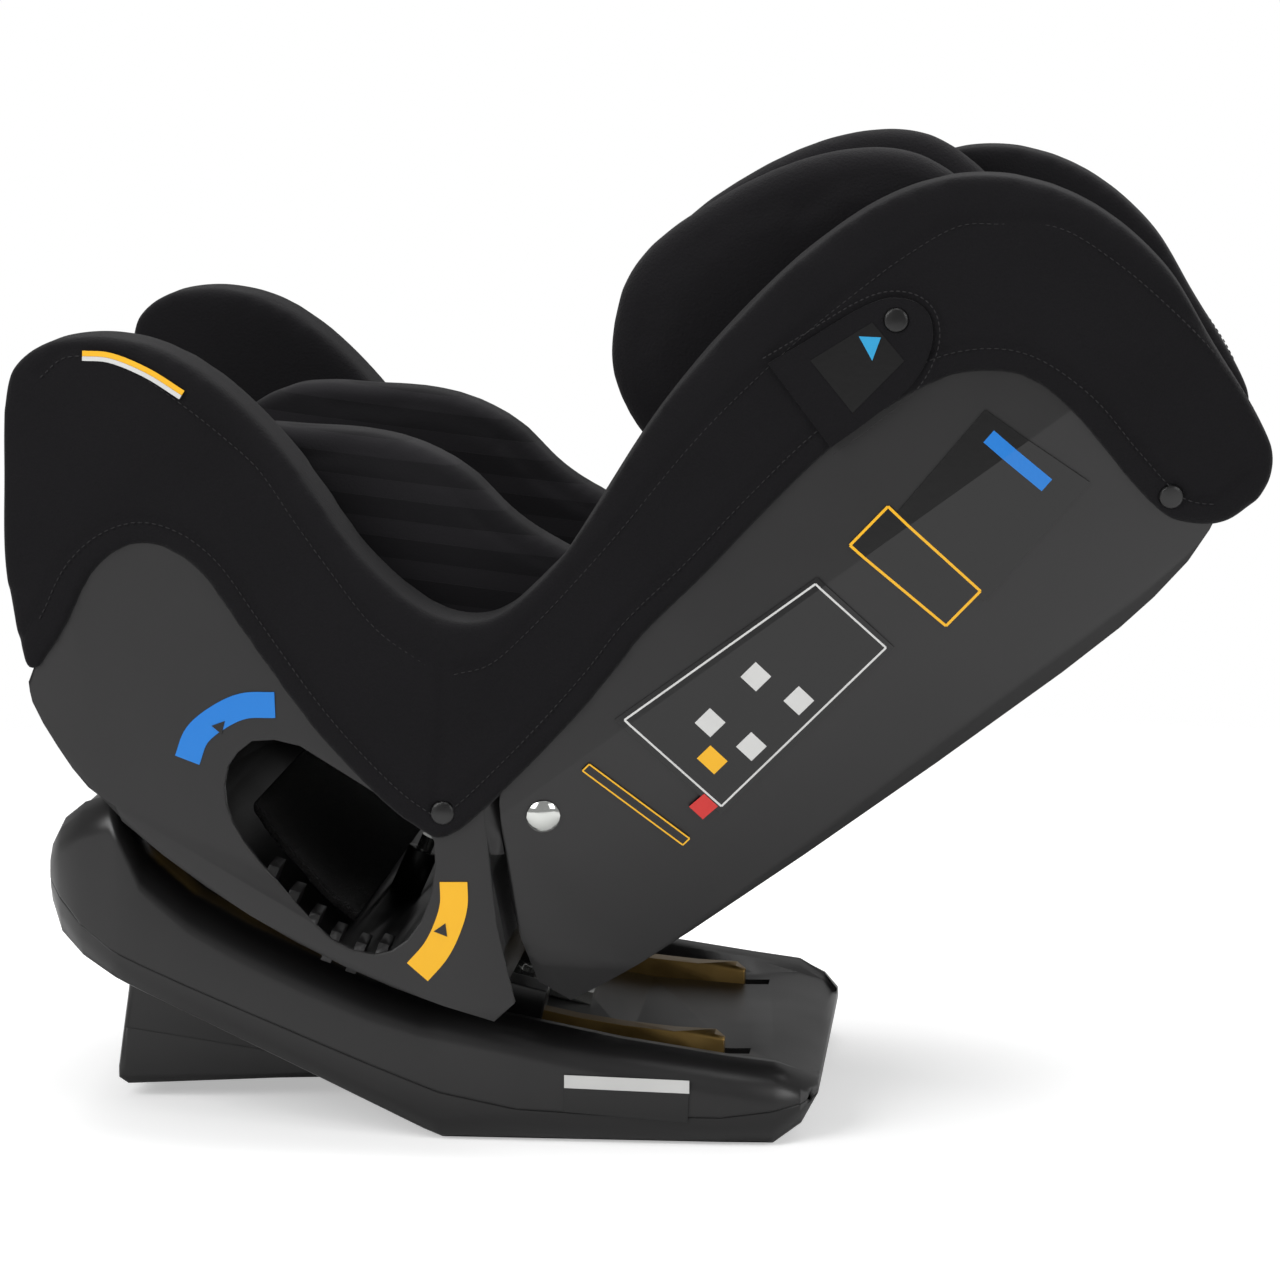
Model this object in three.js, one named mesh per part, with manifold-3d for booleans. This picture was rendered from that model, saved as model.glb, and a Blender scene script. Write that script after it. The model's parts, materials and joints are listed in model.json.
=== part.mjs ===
// Convertible child car seat, in millimetres.
// +X points to the seat's back, -X is the way a child sits facing, +Z is up, and the seat is symmetric about Y = 0.
// Most side outlines are written in two local frames that meet at the bight, where the two cushions meet:
//   back frame (u, n): u runs up the backrest, n stands out of it towards the child.
//   pan frame (v, m):  v runs forward along the seat pan, m stands up from it.
import * as THREE from 'three';
import { mergeVertices } from 'three/addons/utils/BufferGeometryUtils.js';
import Module from 'manifold-3d';

const wasm = await Module();
wasm.setup();

// ---------------------------------------------------------------- driving dimensions
const GAP = 0.3; // between pieces that touch
const SEAT_WIDTH = 460; // over the side flaps
const SIDE_PAD = 58; // thickness of a padded side
const SKIN = 5; // cover fabric and foam outside the shell's wall
const SHELL_WALL = 4.5;
const BACK_LENGTH = 497; // bight to the top of the cover, along the backrest
const PAN_DEPTH = 359; // bight to the front of the cover, along the pan
const BACK_DEPTH = 154; // child's back to the rear of the back shell
const BACK_ANGLE = 36.2; // degrees above the horizontal, fully reclined
const PAN_ANGLE = 148;
const FRONT_ANGLE = 123; // slope of the bucket's front face
const CUSHION = 28; // thickness of the seat and back cushions
const INSERT = 13; // thickness of the insert's flat pads
const BIGHT = { x: -75, z: 240 };
const REAR_TAPER = 31; // how far each side leans in by the rear of the back shell
const LEAN_FROM = -30; // depth at which the sides begin to lean in

const RECLINE = { x: 70, z: 617 }; // axis of the curved rails
const HULL_RADIUS = 548; // underside of the bucket
const RAIL_RADIUS = 562; // top of the rails
const RAIL_HEIGHT = 20;
const RAIL_WIDTH = 14;
const RAIL_SPACING = 200;
const RAIL_FRONT = -38.5; // degrees from straight down, at the rail's front end
const RAIL_REAR = -0.9;
const TROUGH_RADIUS = 574; // floor of the base's trough
const RUNNER = { from: -35, to: -12.4, width: 27 }; // degrees from straight down

const BASE_WIDTH = 350;
const BASE_FRONT = -357;
const BASE_REAR = 121;
const BASE_WALL = 4;
const TROUGH_WIDTH = 270;
const FRONT_CORNER = 58;
const REAR_CORNER = 36;

const FOOT_WIDTH = 160;
const FOOT_PIVOT = { x: -134, z: 10 };
const FOOT_ROD = 3; // radius
const KNUCKLE = 8; // radius

const WEBBING = { width: 38, thick: 1.8 };
const SLOT_CLEARANCE = 2.5; // round webbing in its slots
const SHOULDER_SLOT = { u: 184, y: 46 };
const HARNESS_PATH = { backU: 112, backN: -66 }; // where the shoulder straps meet the yoke
const BUCKLE = { v: 96, length: 62, width: 46, thick: 22 };
const BUCKLE_TRAVEL = 3;
const ADJUSTER = { v: 270, length: 44, width: 58, thick: 20 };
const ADJUSTER_TRAVEL = 4;

const HEAD = { low: 185, high: 430, pad: 34, half: 116, wing: 47, travel: 120 };
const STEM = { half: 14, low: 236, high: 286 };
const FLAP = { thick: 2.6, snap: 7.5 };
const RIVET = { radius: 10, shank: 3.6 };
const LATCH = { angle: -24, radius: 5, width: 42 };
const HANDLE = { half: 46, high: 28, thick: 11, proud: 5 };

// ---------------------------------------------------------------- derived places
const OUTER = SEAT_WIDTH / 2 - FLAP.thick - GAP; // outer face of the cover
const INNER = OUTER - SIDE_PAD; // inner face of a padded side
const WALL_OUT = OUTER - SKIN - GAP; // outer face of the shell's walls
const WALL_IN = WALL_OUT - SHELL_WALL;
const CUSHION_HALF = INNER - 3;
const SHELL_DROP = CUSHION + 2; // shell surface under the cushions
const SURFACE = GAP + INSERT; // face of the insert, where webbing lies
const STRAP_LIFT = SURFACE + 1 + WEBBING.thick / 2;

const radians = THREE.MathUtils.degToRad;
const backAxis = [Math.cos(radians(BACK_ANGLE)), Math.sin(radians(BACK_ANGLE))];
const panAxis = [Math.cos(radians(PAN_ANGLE)), Math.sin(radians(PAN_ANGLE))];

/** Side-view point of the back frame. */
const back = (u, n) => [
  BIGHT.x + u * backAxis[0] - n * backAxis[1],
  BIGHT.z + u * backAxis[1] + n * backAxis[0],
];
/** Side-view point of the pan frame. */
const pan = (v, m) => [
  BIGHT.x + v * panAxis[0] + m * panAxis[1],
  BIGHT.z + v * panAxis[1] - m * panAxis[0],
];
/** Side-view point on the bucket's front face: s climbs it and o stands out of it. */
const frontFace = (s, o) => {
  const [x, z] = pan(222, -128);
  const [cos, sin] = [Math.cos(radians(FRONT_ANGLE)), Math.sin(radians(FRONT_ANGLE))];
  return [x + s * cos - o * sin, z + s * sin + o * cos];
};
/** Side-view point on a circle about the rails' axis, at an angle from straight down. */
const polar = (angle, radius) => [
  RECLINE.x + radius * Math.sin(radians(angle)),
  RECLINE.z - radius * Math.cos(radians(angle)),
];
/** How far a side-view point lies in front of the child's back. */
const depthOf = ([x, z]) => -(x - BIGHT.x) * backAxis[1] + (z - BIGHT.z) * backAxis[0];

// ---------------------------------------------------------------- shape helpers
/** Points of a smooth line through the given side-view points. */
function flow(points, steps) {
  const curve = new THREE.CatmullRomCurve3(points.map(([x, z]) => new THREE.Vector3(x, 0, z)), false, 'centripetal');
  return curve.getPoints(steps).map((p) => [p.x, p.z]);
}

/** Points along an arc about the rails' axis. */
function arc(radius, from, to, steps) {
  return Array.from({ length: steps + 1 }, (_, i) => polar(from + ((to - from) * i) / steps, radius));
}

/** Solid of a side-view outline between two Y planes, with its rims rounded. */
function slab(outline, from, to, round = 0, segments = 3) {
  const shape = new THREE.Shape(outline.map(([x, z]) => new THREE.Vector2(x, z)));
  const geometry = new THREE.ExtrudeGeometry(shape, {
    depth: to - from - 2 * round,
    bevelEnabled: round > 0,
    bevelSize: round,
    bevelThickness: round,
    bevelOffset: -round,
    bevelSegments: segments,
    steps: 1,
  });
  return geometry.rotateX(Math.PI / 2).translate(0, to - round, 0);
}

/** Solid between matching rings of points, each ring convex enough to close with a fan. */
function loft(rings) {
  const count = rings[0].length;
  const positions = rings.flat(2);
  const index = [];
  for (let r = 0; r + 1 < rings.length; r += 1) {
    for (let i = 0; i < count; i += 1) {
      const j = (i + 1) % count;
      const a = r * count + i;
      const b = r * count + j;
      index.push(a, b, a + count, b, b + count, a + count);
    }
  }
  const flat = rings[0].map((p) => new THREE.Vector2(p[1], p[2]));
  const last = (rings.length - 1) * count;
  THREE.ShapeUtils.triangulateShape(flat, []).forEach((corners) => {
    const sameTurn = THREE.ShapeUtils.area(flat) * THREE.ShapeUtils.area(corners.map((i) => flat[i])) > 0;
    const [a, b, c] = sameTurn ? corners : [...corners].reverse();
    index.push(a, c, b);
    index.push(last + a, last + b, last + c);
  });
  const geometry = new THREE.BufferGeometry();
  geometry.setAttribute('position', new THREE.Float32BufferAttribute(positions, 3));
  geometry.setIndex(index);
  return outward(geometry);
}

/** The same closed geometry with its faces turned to point out. */
function outward(geometry) {
  const p = geometry.attributes.position;
  const index = geometry.index.array;
  const [a, b, c] = [new THREE.Vector3(), new THREE.Vector3(), new THREE.Vector3()];
  let volume = 0;
  for (let i = 0; i < index.length; i += 3) {
    a.fromBufferAttribute(p, index[i]);
    b.fromBufferAttribute(p, index[i + 1]);
    c.fromBufferAttribute(p, index[i + 2]);
    volume += a.dot(b.cross(c));
  }
  if (volume < 0) {
    for (let i = 0; i < index.length; i += 3) {
      [index[i + 1], index[i + 2]] = [index[i + 2], index[i + 1]];
    }
  }
  return geometry;
}

/** Flat band that follows a route; each stop gives its side-view place, its Y and the way its face looks. */
function ribbon(stops, width, thick) {
  const centre = stops.map((s) => new THREE.Vector3(s.at[0], s.y, s.at[1]));
  const rings = centre.map((p, i) => {
    const ahead = centre[Math.min(i + 1, centre.length - 1)];
    const behind = centre[Math.max(i - 1, 0)];
    const along = ahead.clone().sub(behind).normalize();
    const across = new THREE.Vector3(0, 1, 0).addScaledVector(along, -along.y).normalize();
    const face = across.clone().cross(along);
    return [[-1, -1], [1, -1], [1, 1], [-1, 1]].map(([w, t]) =>
      p.clone().addScaledVector(across, (w * width) / 2).addScaledVector(face, (t * thick) / 2).toArray());
  });
  return loftAlong(rings);
}

/** Solid between four-cornered rings that may turn as they go. */
function loftAlong(rings) {
  const count = 4;
  const index = [0, 2, 1, 0, 3, 2];
  for (let r = 0; r + 1 < rings.length; r += 1) {
    for (let i = 0; i < count; i += 1) {
      const j = (i + 1) % count;
      const a = r * count + i;
      const b = r * count + j;
      index.push(a, b, a + count, b, b + count, a + count);
    }
  }
  const last = (rings.length - 1) * count;
  index.push(last, last + 1, last + 2, last, last + 2, last + 3);
  const geometry = new THREE.BufferGeometry();
  geometry.setAttribute('position', new THREE.Float32BufferAttribute(rings.flat(2), 3));
  geometry.setIndex(index);
  return outward(geometry);
}

/** Stops of a ribbon, smoothed through a few hand-set ones. */
function route(stops, steps) {
  const curve = new THREE.CatmullRomCurve3(
    stops.map(([at, y]) => new THREE.Vector3(at[0], y, at[1])), false, 'centripetal');
  return curve.getSpacedPoints(steps).map((p) => ({ at: [p.x, p.z], y: p.y }));
}

/** Cylinder along Y. */
function rodY([x, z], from, to, radius, segments = 20) {
  return new THREE.CylinderGeometry(radius, radius, to - from, segments)
    .translate(0, (from + to) / 2, 0)
    .translate(x, 0, z);
}

/** Cylinder along a radius of the rails' circle. */
function radialRod(angle, from, to, y, radius, segments = 16) {
  const [x, z] = polar(angle, (from + to) / 2);
  return new THREE.CylinderGeometry(radius, radius, to - from, segments)
    .rotateX(Math.PI / 2)
    .rotateY(-radians(angle))
    .translate(x, y, z);
}

/** Block in a local side-view frame. */
function block(frame, [a0, a1], [b0, b1], [y0, y1], round = 0) {
  return slab([frame(a0, b0), frame(a1, b0), frame(a1, b1), frame(a0, b1)], y0, y1, round, 2);
}

function toSolid(geometry) {
  const bare = geometry.clone();
  bare.deleteAttribute('normal');
  bare.deleteAttribute('uv');
  const merged = mergeVertices(bare, 1e-4);
  return new wasm.Manifold(new wasm.Mesh({
    numProp: 3,
    vertProperties: new Float32Array(merged.attributes.position.array),
    triVerts: new Uint32Array(merged.index.array),
  }));
}

function toGeometry(solid) {
  const mesh = solid.getMesh();
  const geometry = new THREE.BufferGeometry();
  geometry.setAttribute('position', new THREE.BufferAttribute(mesh.vertProperties, 3));
  geometry.setIndex(new THREE.BufferAttribute(mesh.triVerts, 1));
  return geometry;
}

/** The first geometry with the others joined to it. */
function join(first, ...rest) {
  return toGeometry(rest.reduce((solid, g) => solid.add(toSolid(g)), toSolid(first)));
}

/** The first geometry with the others cut out of it. */
function cut(first, ...rest) {
  return toGeometry(rest.reduce((solid, g) => solid.subtract(toSolid(g)), toSolid(first)));
}

/** How far a side leans in at a depth behind the child's back. */
const leanAt = (depth) => 1 - (Math.max(0, LEAN_FROM - depth) / (BACK_DEPTH + LEAN_FROM)) * (REAR_TAPER / WALL_OUT);

/** Leans the sides in behind the child's back and leaves what lies in front of it straight. */
function leanIn(geometry) {
  const far = 900;
  const overlap = 0.02;
  const front = cut(geometry, block(back, [-far, far], [-far, LEAN_FROM], [-far, far]));
  const rear = cut(geometry, block(back, [-far, far], [LEAN_FROM + overlap, far], [-far, far]));
  const p = rear.attributes.position;
  for (let i = 0; i < p.count; i += 1) {
    p.setY(i, p.getY(i) * leanAt(depthOf([p.getX(i), p.getZ(i)])));
  }
  return join(front, rear);
}

/** Turns a piece that stands along +Y so that it stands out of one side at a side-view point. */
function standOut(geometry, at, side, base) {
  const lean = depthOf(at) < LEAN_FROM ? REAR_TAPER / (BACK_DEPTH + LEAN_FROM) : 0;
  const outwards = new THREE.Vector3(lean * backAxis[1], side, -lean * backAxis[0]).normalize();
  return geometry.applyQuaternion(new THREE.Quaternion().setFromUnitVectors(new THREE.Vector3(0, 1, 0), outwards))
    .translate(at[0], side * base, at[1]);
}

/** Outline moved out by a distance. */
function swell(outline, by) {
  const turn = Math.sign(THREE.ShapeUtils.area(outline.map(([x, z]) => new THREE.Vector2(x, z))));
  return outline.map(([x, z], i) => {
    const [px, pz] = outline[(i + outline.length - 1) % outline.length];
    const [nx, nz] = outline[(i + 1) % outline.length];
    const out = new THREE.Vector2(nz - pz, px - nx).normalize().multiplyScalar(by * turn);
    return [x + out.x, z + out.y];
  });
}

/** Y range of a piece on one side: -1 is the child's left, +1 the right. */
const span = (side, inner, outer) => (side > 0 ? [inner, outer] : [-outer, -inner]);
const sides = [['left', -1], ['right', 1]];

// ---------------------------------------------------------------- finishes
const finish = {
  fabric: [0x17151a, 0.95, 0],
  insert: [0x201e22, 0.95, 0],
  plastic: [0x29272a, 0.45, 0],
  base: [0x252326, 0.5, 0],
  steel: [0xb08a3c, 0.4, 0.9],
  bright: [0xcdceca, 0.3, 1],
  webbing: [0x1b1b1d, 0.9, 0],
  snap: [0x0e0e0f, 0.35, 0],
  release: [0xb3241d, 0.4, 0],
};

const seat = new THREE.Group();
let home = seat;
function add(name, geometry, look) {
  const [color, roughness, metalness] = finish[look];
  const mesh = new THREE.Mesh(geometry, new THREE.MeshStandardMaterial({ color, roughness, metalness }));
  mesh.name = name;
  home.add(mesh);
}
function group(parent) {
  home = new THREE.Group();
  parent.add(home);
}

// ---------------------------------------------------------------- base housings
/** Smooth height line over X, through points sorted by X. */
function line(points) {
  return (x) => {
    const last = points.length - 2;
    let i = points.findIndex((p, k) => k <= last && x <= points[k + 1][0]);
    if (i < 0) i = last;
    const [x0, y0] = points[i];
    const [x1, y1] = points[i + 1];
    const slope = (k) => {
      const a = points[Math.max(k - 1, 0)];
      const b = points[Math.min(k + 1, points.length - 1)];
      return (b[1] - a[1]) / (b[0] - a[0]);
    };
    const t = THREE.MathUtils.clamp((x - x0) / (x1 - x0), 0, 1);
    const h = x1 - x0;
    return (2 * t ** 3 - 3 * t ** 2 + 1) * y0 + (t ** 3 - 2 * t ** 2 + t) * h * slope(i)
      + (3 * t ** 2 - 2 * t ** 3) * y1 + (t ** 3 - t ** 2) * h * slope(i + 1);
  };
}
const bottomLine = line([[BASE_FRONT, 148], [-346, 121], [-328, 106], [-294, 88], [-199, 43], [-120, 5]]);
const bottomAt = (x) => {
  if (x > BASE_REAR - 26) return THREE.MathUtils.lerp(0, 26, ((x - BASE_REAR + 26) / 26) ** 2);
  return x > -108 ? 0 : Math.max(0, x < -120 ? bottomLine(x) : (5 * (-108 - x)) / 12);
};
const partingAt = line([
  [BASE_FRONT, 158], [-331, 132], [-303, 113], [-199, 68], [-120, 36], [-83, 24], [-34, 21], [51, 18], [BASE_REAR, 27],
]);
const shoulderAt = line([
  [BASE_FRONT, 164], [-348, 184], [-330, 201], [-308, 208], [-290, 172], [-260, 146], [-198, 114], [-137, 90], [-50, 72],
  [12, 60], [61, 53], [98, 48], [BASE_REAR, 36],
]);
const troughAt = (x) => {
  const floor = RECLINE.z - Math.sqrt(TROUGH_RADIUS ** 2 - (x - RECLINE.x) ** 2);
  return Math.min(x < -302 ? 1e3 : floor, shoulderAt(x) - 3);
};
const halfWidthAt = (x) => {
  const corner = (reach, radius) => {
    const d = Math.min(radius, Math.max(0, reach));
    return radius - Math.sqrt(radius ** 2 - (radius - d) ** 2);
  };
  return BASE_WIDTH / 2 - corner(x - BASE_FRONT, FRONT_CORNER) - corner(BASE_REAR - x, REAR_CORNER);
};

/** Stations along the base, closer together at its ends. */
function stations(inset) {
  const from = BASE_FRONT + inset;
  const to = BASE_REAR - inset;
  const shares = [0, 0.01, 0.028, 0.06, 0.1, 0.115, 0.14, 0.2, 0.27, 0.35, 0.43, 0.498, 0.522, 0.62, 0.75, 0.88, 0.945,
    0.98, 1];
  return shares.map((s) => from + (to - from) * s);
}

/** Cross-section ring of the upper housing, or of the room inside it. */
function upperRing(x, inset) {
  const w = halfWidthAt(x) - inset;
  const top = shoulderAt(x) - inset;
  const floor = troughAt(x) - inset;
  const low = partingAt(x) + (inset ? -2 : GAP / 2);
  const round = Math.min(16, (top - low) * 0.6);
  const t = Math.min(TROUGH_WIDTH / 2, w - 22);
  const half = [[t - 4 + inset, floor], [t + 3 + inset, top - 2], [w - 22, top], [w - 9, top - 0.25 * round],
    [w - 2, top - 0.75 * round], [w, top - 1.3 * round], [w, low]];
  return [...half.map(([y, z]) => [x, y, z]), ...half.reverse().map(([y, z]) => [x, -y, z])];
}

/** Cross-section ring of the lower housing, or of the room inside it. */
function lowerRing(x, inset) {
  const w = halfWidthAt(x) - inset;
  const low = bottomAt(x) + inset;
  const high = partingAt(x) + (inset ? 2 : -GAP / 2);
  const round = Math.min(15, (high - low) * 0.7);
  const half = [[0, low], [w - 16, low], [w - 6, low + 0.25 * round], [w - 1.5, low + round], [w - 1, high]];
  const other = half.slice(1).reverse();
  return [...half.map(([y, z]) => [x, y, z]), ...other.map(([y, z]) => [x, -y, z])];
}

function railBand(from, to, y, width, clearance, start = RAIL_FRONT, end = RAIL_REAR) {
  const outline = [...arc(from, start, end, 12), ...arc(to, end, start, 12)];
  return slab(outline, y - width / 2 - clearance, y + width / 2 + clearance);
}

function buildBase(parent) {
  group(parent);
  const channelDepth = RAIL_RADIUS + RAIL_HEIGHT;
  const railYs = [-RAIL_SPACING / 2, RAIL_SPACING / 2];
  let upper = cut(loft(stations(0).map((x) => upperRing(x, 0))), loft(stations(BASE_WALL).map((x) => upperRing(x, BASE_WALL))));
  const boltAngles = [RAIL_FRONT + 3, RAIL_REAR - 3];
  railYs.forEach((y) => {
    upper = join(upper, railBand(TROUGH_RADIUS + 1, channelDepth + BASE_WALL, y, RAIL_WIDTH + 8, 0, RAIL_FRONT, RAIL_REAR + 2.4));
    upper = cut(upper, railBand(RAIL_RADIUS - 14, channelDepth + GAP, y, RAIL_WIDTH, GAP, RAIL_FRONT - 0.3, RAIL_REAR + 1.6));
    boltAngles.forEach((angle) => {
      upper = cut(upper, radialRod(angle, channelDepth - 6, channelDepth + 12, y, 3.2));
    });
  });
  add('base_upper_housing', upper, 'base');

  const pocketHalf = FOOT_WIDTH / 2 + 1.5;
  const lugHalf = pocketHalf + 14;
  const pocket = { from: FOOT_PIVOT.x - 34, to: FOOT_PIVOT.x + 34, top: FOOT_PIVOT.z + KNUCKLE + 2.5 };
  const wrap = BASE_WALL;
  const liner = slab([
    [FOOT_PIVOT.x - 22, bottomAt(FOOT_PIVOT.x - 22) + 0.5], [FOOT_PIVOT.x - 12, 3], [FOOT_PIVOT.x + 12, 3],
    [pocket.to, 0.5], [pocket.to + wrap, 0.5], [pocket.to + wrap, pocket.top], [pocket.to - 16, pocket.top + wrap],
    [FOOT_PIVOT.x - 22, bottomAt(FOOT_PIVOT.x - 22) + 2 * wrap],
  ], -lugHalf, lugHalf);
  const sweep = slab([
    [pocket.from, -6], [pocket.to, -6], [pocket.to, 3], [pocket.to - 20, pocket.top], [pocket.from, pocket.top],
  ], -pocketHalf, pocketHalf);
  const lower = cut(
    join(cut(loft(stations(0).map((x) => lowerRing(x, 0))), loft(stations(BASE_WALL).map((x) => lowerRing(x, BASE_WALL)))), liner),
    sweep,
    rodY([FOOT_PIVOT.x, FOOT_PIVOT.z], -lugHalf + 3, lugHalf - 3, FOOT_ROD + GAP));
  add('base_lower_housing', lower, 'base');
  add('foot_pivot_rod', rodY([FOOT_PIVOT.x, FOOT_PIVOT.z], -lugHalf + 3.3, lugHalf - 3.3, FOOT_ROD), 'bright');

  [['left', railYs[0]], ['right', railYs[1]]].forEach(([side, y]) => {
    const fold = 3;
    const hollow = railBand(RAIL_RADIUS + fold, channelDepth + 1, y, RAIL_WIDTH - 2 * fold, 0, RAIL_FRONT + 6, RAIL_REAR - 6);
    const corner = slab([polar(RAIL_REAR + 0.2, RAIL_RADIUS - 1), polar(RAIL_REAR + 0.2, RAIL_RADIUS + 6),
      polar(RAIL_REAR - 0.7, RAIL_RADIUS - 1)], y - RAIL_WIDTH, y + RAIL_WIDTH);
    const holes = boltAngles.map((angle) => radialRod(angle, channelDepth - 10, channelDepth + 2, y, 3 + GAP));
    add(`rail_${side}`, cut(railBand(RAIL_RADIUS, channelDepth, y, RAIL_WIDTH, 0), hollow, corner, ...holes), 'steel');
    boltAngles.forEach((angle, i) => {
      const shank = radialRod(angle, channelDepth - 9, channelDepth + 5, y, 3);
      const head = radialRod(angle, channelDepth + BASE_WALL + GAP, channelDepth + BASE_WALL + 4, y, 5.5);
      add(`rail_bolt_${side}_${i ? 'rear' : 'front'}`, join(shank, head), 'bright');
    });
  });

  const notchPitch = 2.4;
  const rackTop = TROUGH_RADIUS - 9;
  const rack = slab([...arc(rackTop, LATCH.angle - 2, LATCH.angle + 14, 16),
    ...arc(TROUGH_RADIUS - 1, LATCH.angle + 14, LATCH.angle - 2, 16)], -LATCH.width / 2, LATCH.width / 2);
  const notches = Array.from({ length: 6 }, (_, i) =>
    radialRod(LATCH.angle + i * notchPitch, rackTop - 2, rackTop + 5, 0, LATCH.radius + 1));
  add('recline_rack', cut(rack, ...notches), 'bright');
}

// ---------------------------------------------------------------- swing foot
function buildFoot(parent) {
  group(parent);
  const { x, z } = FOOT_PIVOT;
  const half = FOOT_WIDTH / 2;
  const under = (at) => bottomAt(at) - 3;
  const wedge = [
    [x - 30, under(x - 30) + 0.5], [-199, under(-199)], [-250, under(-250)], [-294, under(-294)], [-310, 93],
    [-315, 84], [-324, 20], [-324, 13], [-318, 9], [-221, 14.5], [x - 31, 16.5],
  ];
  const split = [[-340, 49], [-190, 27], [-190, 27.5], [-340, 49.5]];
  const web = [[x - 36, 17], [x - 34, under(x - 34) - 1], [x - 18, z + KNUCKLE - 0.4], [x - 2, z + KNUCKLE], [x - 4, z - KNUCKLE + 1]];
  const knuckle = rodY([x, z], -half, half, KNUCKLE, 24);
  const bore = rodY([x, z], -half - 1, half + 1, FOOT_ROD + 0.08, 24);
  const body = join(slab(wedge, -half, half, 4, 2), slab(web, -half, half), knuckle);
  const pocket = slab([[-296, 4], [-296, 62], [-240, 34], [-240, 4]], -half + 12, half - 12);
  add('swing_foot', cut(body, bore, pocket, slab(split, -half - 1, -half + 0.8), slab(split, half - 0.8, half + 1)), 'base');
  const tread = [[-293, 8.6], [-294, 14], [-242, 17.5], [-242, 12.6]];
  add('foot_tread', slab(tread, -half + 13, half - 13), 'snap');
}

// ---------------------------------------------------------------- plastic shells
/** Outline of the bucket's side wall. */
function bucketWall() {
  return [
    ...flow([pan(255, -103), pan(247, -112), pan(220, -127), pan(192, -138), pan(172, -139)], 8),
    ...arc(HULL_RADIUS, -41.2, -14.6, 8),
    [-56, 98], ...flow([[-67, 146], [-70, 181], [-74, 212], [-74, 227]], 5),
    [-76, 296], ...flow([pan(76, 32), pan(127, 40), pan(208, 74), pan(PAN_DEPTH - 107, 82), pan(PAN_DEPTH - 60, 80),
      pan(PAN_DEPTH - 28, 55), pan(PAN_DEPTH - 62, 0), pan(263, -62)], 12),
  ];
}

/** Outline of the bucket's hollow body under the pan, moved in by an inset. */
function belly(inset) {
  const top = -SHELL_DROP - inset;
  return [
    pan(304 - inset, top), pan(250 - inset, -102 + inset * 0.5), pan(220 - inset * 0.5, -127 + inset),
    pan(191 - inset * 0.3, -138 + inset), ...arc(HULL_RADIUS - inset, -41.2 + inset * 0.1, -15 - inset * 0.1, 8),
    back(-52 - inset, -94 + inset * 0.4), back(-22 - inset, top), pan(30 + inset, top),
  ];
}

/** Outline of the opening that the vehicle's belt passes through. */
function beltOpening() {
  return flow([[-212, 254], [-225, 242], [-229, 224], [-225, 206], [-214, 188], [-196, 167], [-179, 147], [-161, 132],
    [-140, 126], [-124, 132], [-110, 150], [-103, 178], [-106, 202], [-125, 215], [-160, 237], [-190, 254], [-212, 254]], 26)
    .slice(0, -1);
}

/** Outline of the back shell, moved in by an inset on its closed rear and lower edges. */
function backOutline(inset) {
  const rear = -BACK_DEPTH + inset;
  const top = BACK_LENGTH;
  return [
    back(44 + inset, 38), ...flow([back(1 + inset, -17), back(-8 + inset, -29), back(-23 + inset, -56),
      back(-41 + inset, -86), back(-54 + inset, -126 + inset)], 6),
    ...flow([back(-46 + inset, rear + 7), back(-14, rear + 2), back(44, rear - 1), back(190, rear - 3), back(330, rear - 1),
      back(top - 122, rear + 3), back(top - 79, rear + 13), back(top - 52, rear + 27)], 11),
    ...flow([back(top - 34, -100), back(top - 28, -40), back(top - 32, 10), back(top - 44, 56), back(top - 66, 86),
      back(top - 98, 104), back(top - 150, 107), back(271, 97), back(189, 76), back(112, 48), back(70, 42)], 13),
  ];
}

/** Side walls of both shells, grown by a clearance: what the padded sides are slotted over. */
function wallsWithClearance() {
  const grow = (outline, side) => slab(swell(outline, 2 * GAP), ...span(side, WALL_IN - 2 * GAP, WALL_OUT + GAP));
  const full = WALL_OUT + GAP;
  const rear = leanIn(cut(slab(backOutline(-GAP), -full, full), slab(backOutline(SHELL_WALL + GAP), -full - 1, full + 1)));
  return [...[-1, 1].flatMap((side) => [grow(bucketWall(), side), leanIn(grow(backOutline(0), side)),
    slab(swell(rivetTab(), GAP), ...span(side, WALL_IN - TAB_REACH - GAP, WALL_IN + 1 + GAP))]),
    slab(belly(-2 * GAP), -WALL_OUT, WALL_OUT), rear];
}

const rivetAt = back(12, -45);
const TAB_REACH = 16; // how far inside its wall the bucket's hinge tab lies
/** Outline of the bucket's tab that the back shell is riveted to. */
function rivetTab() {
  const [x, z] = rivetAt;
  return [[x - 49, z - 15], [x - 30, z - 24], [x + 14, z - 20], [x + 20, z], [x + 14, z + 20], [x - 47, z + 15]];
}

const rivetBase = WALL_OUT * leanAt(depthOf(rivetAt)) + 2 * GAP;
/** Hole for a rivet's shank. */
function rivetHole(side) {
  return standOut(new THREE.CylinderGeometry(RIVET.shank + GAP, RIVET.shank + GAP, 50, 16), rivetAt, side, rivetBase);
}

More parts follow.
